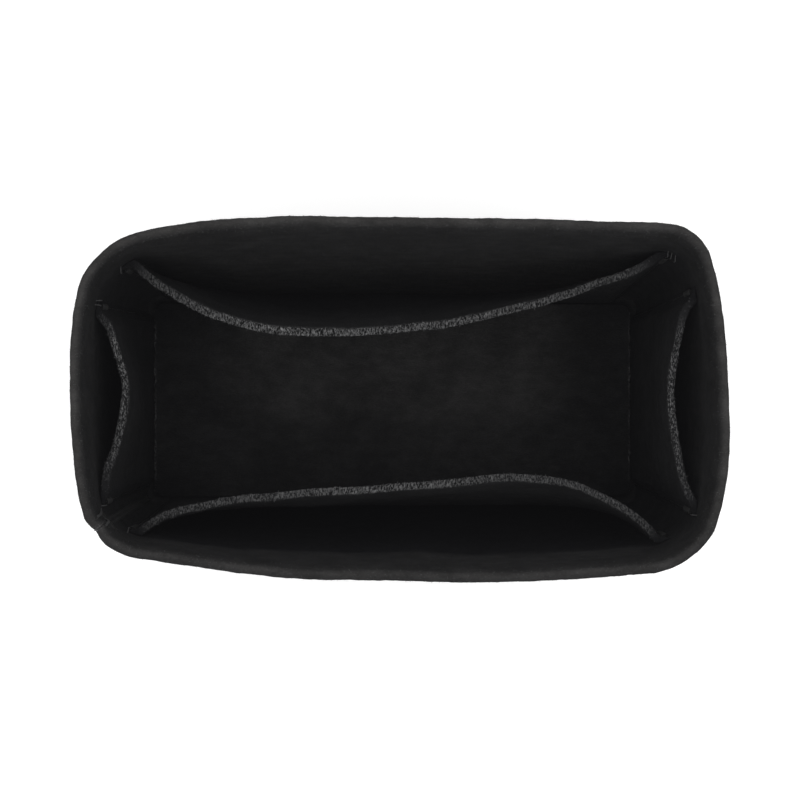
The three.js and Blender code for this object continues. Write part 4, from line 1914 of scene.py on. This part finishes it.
@dataclass(frozen=True)
class Base:
    """The base: an outer felt, the board on it, the floor felt, and the whipped seam to the wall."""

    wall: WallForm
    finishes: Finishes
    felt: float = 2.8
    under_dents: Pairs = ((7, 0.05), (3, 0.03))
    under_dents_seed: int = 21
    under_dents_below: float = -0.4
    under_cut: float = 0.5
    under_area_share: float = 0.995
    sharp: float = 60
    floor: Slab = Slab(length=203.8, width=82.5, radius=4, foot=4.6, thickness=2.8, edge=0.5, spacing=1.1)
    floor_waves: Pairs = ((42, 0.22), (13, 0.09), (4.2, 0.05))
    floor_waves_seed: int = 31
    creases: tuple[Crease, ...] = (
        Crease((51.4, 32.1), 0.8, 0.3, (-10, 40), (82, 70), slope=0.107),
        Crease((0, -62), 1.1, 0.14, (-38, -12), (60, 50), slope=0.25, runs_along_y=True),
        Crease((0, -8.5), 1.8, 0.16, (-80, -40), (90, 50), sway=-1.4),
    )
    scuff_place: tuple[float, float] = (68.7, -28.9)
    scuff_lift: float = 0.22
    scuff_lift_size: tuple[float, float] = (2.8, 1.2)
    scuff_worn: float = 0.5
    scuff_worn_size: tuple[float, float] = (2.6, 1)
    patch_worn: float = 0.33
    patch_drift: Pairs = ((30, 2),)
    patch_drift_seed: int = 37
    patch_drift_stretch: float = 3
    patch_fades: Pairs = ((-80, -54), (80, 52), (-12, -2))
    middle_worn: float = 0.08
    middle_fades: Pairs = ((-84, -40), (84, 50), (-42, -20))
    corner_shade: float = 0.45
    corner_fades: Pairs = ((20, 4), (16, 2))
    frayed: Pairs = ((2.3, 0.12),)
    frayed_seed: int = 34
    side_frayed_share: float = 0.5
    end_cut_tones: tuple[float, float] = (0.08, 0.5)
    end_cut_patches: Pairs = ((9, 0.4),)
    end_cut_patches_seed: int = 36
    end_cut_patch_range: tuple[float, float] = (-0.2, 0.25)
    end_cut_fades: Pairs = ((2.2, 0.8), (37, 27))
    nap: Nap = Nap(shortest=0.4, longest=1.3)
    end_fibres: int = 420
    end_fibres_seed: int = 35
    end_rings: int = 9
    whip_thread: Thread = Thread(radius=0.21)
    whip_pitch: float = 4.2
    whip_low: float = 1.3
    whip_high: float = 6.2
    whip_slant: float = 1.5
    whip_depth: float = 0.4
    whip_margin: float = 3
    whip_sway: tuple[float, float] = (0.12, 0.1)
    whip_seed: int = 41

    def build_underside(self) -> None:
        """Make the outer felt."""
        wall = self.wall
        grid, cut = Slab(wall.base_length, wall.base_width, wall.base_radius, 0, self.felt).grid()
        above = np.where(grid[..., 2] > self.felt / 2, 1.0, self.under_dents_below)
        dents = uneven(grid, self.under_dents, self.under_dents_seed)
        grid[..., 2] = np.maximum(0, grid[..., 2] + dents * above)
        body = Body().loft(grid, cut=cut * self.under_cut)
        piece = dress(body.build("base_felt", self.finishes.base, self.sharp), "base_felt", "base_underside")
        length, width = round(wall.base_length * MM, 4), round(wall.base_width * MM, 4)
        area = round(length * width * self.under_area_share, 6)

    def scuff(self, grid: Array, size: tuple[float, float]) -> Array:
        """Return the share of a small scuff on the floor that is on each point."""
        (x, y), (length, width) = self.scuff_place, size
        return bell((grid[..., 0] - x) / length) * bell((grid[..., 1] - y) / width)

    def floor_worn(self, grid: Array) -> Array:
        """Find where the floor is made lighter: painted light over its back and middle, and a real scuff.

        Args:
            grid: the floor's points.

        Returns:
            A number from 0 to 1 for each.
        """
        x, y = grid[..., 0], grid[..., 1]
        drift = uneven(grid, self.patch_drift, self.patch_drift_seed)
        along = self.patch_drift_stretch * drift
        # Painted light over the back of the floor, with a wavy edge.
        left, right, front = self.patch_fades
        patch = smooth_step(*left, x + along) * smooth_step(*right, x - along)
        patch = patch * smooth_step(*front, y + drift)
        # Fainter painted light over the middle of the floor.
        left, right, front = self.middle_fades
        middle = smooth_step(*left, x) * smooth_step(*right, x) * smooth_step(*front, y)
        broad = self.patch_worn * patch + self.middle_worn * middle
        # The scuff is real wear.
        return np.maximum(broad, self.scuff_worn * self.scuff(grid, self.scuff_worn_size))

    def build_floor(self) -> None:
        """Make the floor felt, with loose fibres at both ends."""
        floor = self.floor
        grid, cut = floor.grid()
        upper = grid[..., 2] > floor.foot + floor.thickness / 2
        lift = sum(crease.height(grid[..., 0], grid[..., 1]) for crease in self.creases)
        lift = lift + self.scuff_lift * self.scuff(grid, self.scuff_lift_size)
        waves = uneven(grid, self.floor_waves, self.floor_waves_seed)
        grid[..., 2] += np.where(upper, waves + lift, 0)
        to_end, to_side = floor.length / 2 - np.abs(grid[..., 0]), floor.width / 2 - np.abs(grid[..., 1])
        end_fade, side_fade = self.corner_fades
        shade = self.corner_shade * smooth_step(*end_fade, to_end) * smooth_step(*side_fade, to_side)
        frayed = uneven(grid, self.frayed, self.frayed_seed) * cut
        end_fade, side_fade = self.end_cut_fades
        patches = uneven(grid, self.end_cut_patches, self.end_cut_patches_seed)
        patches = smooth_step(*self.end_cut_patch_range, patches)
        cut = cut * smooth_step(*end_fade, to_end) * lerp(*self.end_cut_tones, patches)
        cut = cut * smooth_step(*side_fade, np.abs(grid[..., 1]))
        grid[..., 0] += frayed * np.sign(grid[..., 0])
        grid[..., 1] += frayed * self.side_frayed_share * np.sign(grid[..., 1])
        body = Body().loft(grid, cut=cut, worn=self.floor_worn(grid) * upper, shade=shade)
        piece = dress(body.build("floor_felt", self.finishes.floor, self.sharp), "floor_felt", "floor_panel")
        top = grid[:, : grid.shape[1] // 2]
        patches = [(top[: self.end_rings], self.end_fibres), (top[-self.end_rings:], self.end_fibres)]
        fibres = self.nap.grow(patches, self.end_fibres_seed)
        fibres = dress(fibres.build("floor_end_fibres", self.finishes.fibre), "floor_felt")
        flat = (round(floor.length * MM, 4), round(floor.width * MM, 4))

    def build_whipping(self) -> None:
        """Make the slanted stitches that join the base's edge to the wall's foot."""
        low, high = self.wall.outline(self.whip_low), self.wall.outline(self.whip_high)
        run = run_along(low.points)
        last = run[-1] - self.whip_margin
        body, draw = Body(), np.random.default_rng(self.whip_seed)
        along_sway, up_sway = self.whip_sway
        for place in np.linspace(self.whip_margin, last, round((last - self.whip_margin) / self.whip_pitch)):
            places = [place + slant + draw.normal(0, along_sway) for slant in (0, self.whip_slant)]
            ends = []
            for outline, z, spot in zip((low, high), (self.whip_low, self.whip_high), places):
                ends.append(np.array([*pass_at(spot, run, outline.points), z + draw.normal(0, up_sway)]))
            facing = np.array([*pass_at(place, run, low.normals), 0])
            self.whip_thread.stitch(body, *ends, unit(facing), self.whip_depth)
        dress(body.build("base_whipping", self.finishes.thread), "thread")

    def build(self, board: bpy.types.Object) -> None:
        """Make the whole base and give the board its finish.

        Args:
            board: the stiffening board's own solid, which stays.
        """
        board.data.materials.clear()
        board.data.materials.append(self.finishes.board)
        self.build_underside()
        self.build_floor()
        self.build_whipping()


@dataclass(frozen=True)
class Studio:
    """A pale floor, a white world, one broad lamp overhead and the camera above the mouth, in metres."""

    focal_pixels: float = 1198
    sensor: float = 36
    clip: tuple[float, float] = (0.01, 20)
    camera_place: Triple = (-0.010, 0, 0.520)
    camera_target: Triple = (0, 0, 0.120)
    world_strength: float = 0.78
    lamp_power: float = 7
    lamp_side: float = 1.4
    lamp_place: Triple = (0.05, -0.12, 1.3)
    lamp_target: Triple = (0, 0, 0.06)
    floor_half: float = 4
    floor_drop: float = 0.00005
    floor_diffuse: float = 0.8
    floor_glow: float = 0.44

    def build_camera(self) -> None:
        """Make the camera, upright in the picture."""
        data = bpy.data.cameras.new("camera")
        data.sensor_width = self.sensor
        data.lens = self.focal_pixels / IMAGE_SIDE * self.sensor
        data.clip_start, data.clip_end = self.clip
        camera = add_object("camera", data)
        camera.location = self.camera_place
        back = (Vector(self.camera_place) - Vector(self.camera_target)).normalized()
        up = Vector((0, 1, 0))
        camera.rotation_euler = Matrix((up.cross(back), up, back)).transposed().to_euler()
        bpy.context.scene.camera = camera

    def build_floor(self) -> None:
        """Make the pale floor, which looks brighter to the camera than to the object."""
        corners = [(-1, -1), (1, -1), (1, 1), (-1, 1)]
        points = raised(np.array(corners) * self.floor_half / MM, -self.floor_drop / MM)
        shader = Shader(bpy.data.materials.new("pale_floor"))
        rays = shader.node("ShaderNodeLightPath").outputs
        seen = Field(shader, rays["Is Camera Ray"])
        for name in ("Is Glossy Ray", "Is Transmission Ray"):
            seen = seen.larger(Field(shader, rays[name]))
        plain = shader.field("ShaderNodeBsdfDiffuse", {}, {"Color": [self.floor_diffuse] * 3 + [1]})
        glow = shader.field("ShaderNodeEmission", {}, {"Color": (1, 1, 1, 1), "Strength": self.floor_glow})
        both = shader.field("ShaderNodeAddShader", {}, {0: plain, 1: glow})
        mixed = shader.field("ShaderNodeMixShader", {}, {0: seen, 1: plain, 2: both})
        shader.node("ShaderNodeOutputMaterial", {}, {"Surface": mixed})
        Body().add(points, [[0, 1, 2, 3]]).build("studio_floor", shader.owner)

    def build_world(self) -> None:
        """Make the world: white where it is seen, and soft light on the object."""
        shader = Shader(bpy.data.worlds.new("studio"))
        rays = shader.node("ShaderNodeLightPath").outputs
        seen = Field(shader, rays["Is Camera Ray"]).larger(Field(shader, rays["Is Glossy Ray"]))
        inputs = {"Value": seen, "To Min": self.world_strength, "To Max": 1}
        strength = shader.field("ShaderNodeMapRange", {}, inputs)
        sky = shader.field("ShaderNodeBackground", {}, {"Color": (1, 1, 1, 1), "Strength": strength})
        shader.node("ShaderNodeOutputWorld", {}, {"Surface": sky})
        bpy.context.scene.world = shader.owner

    def build_lamp(self) -> None:
        """Make the broad soft lamp."""
        data = bpy.data.lights.new("overhead_lamp", "AREA")
        data.shape, data.size, data.energy = "SQUARE", self.lamp_side, self.lamp_power
        lamp = add_object("overhead_lamp", data)
        lamp.location = self.lamp_place
        way = Vector(self.lamp_target) - Vector(self.lamp_place)
        lamp.rotation_euler = way.to_track_quat("-Z", "Y").to_euler()

    def build(self) -> None:
        """Make the whole studio."""
        self.build_camera()
        self.build_floor()
        self.build_world()
        self.build_lamp()
        bpy.context.scene.view_settings.view_transform = "Standard"


def main() -> None:
    """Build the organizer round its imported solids, and the studio that it stands in."""
    logging.basicConfig(level=logging.INFO, format="%(message)s")
    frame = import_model()
    finishes = Finishes.make()
    form = WallForm()
    Wall(form, finishes).build()
    Base(form, finishes).build(frame["nodes"]["base_board"])
    for pocket in POCKETS:
        Pocket(pocket, form, finishes).build()
    Studio().build()


if __name__ == "__main__":
    main()
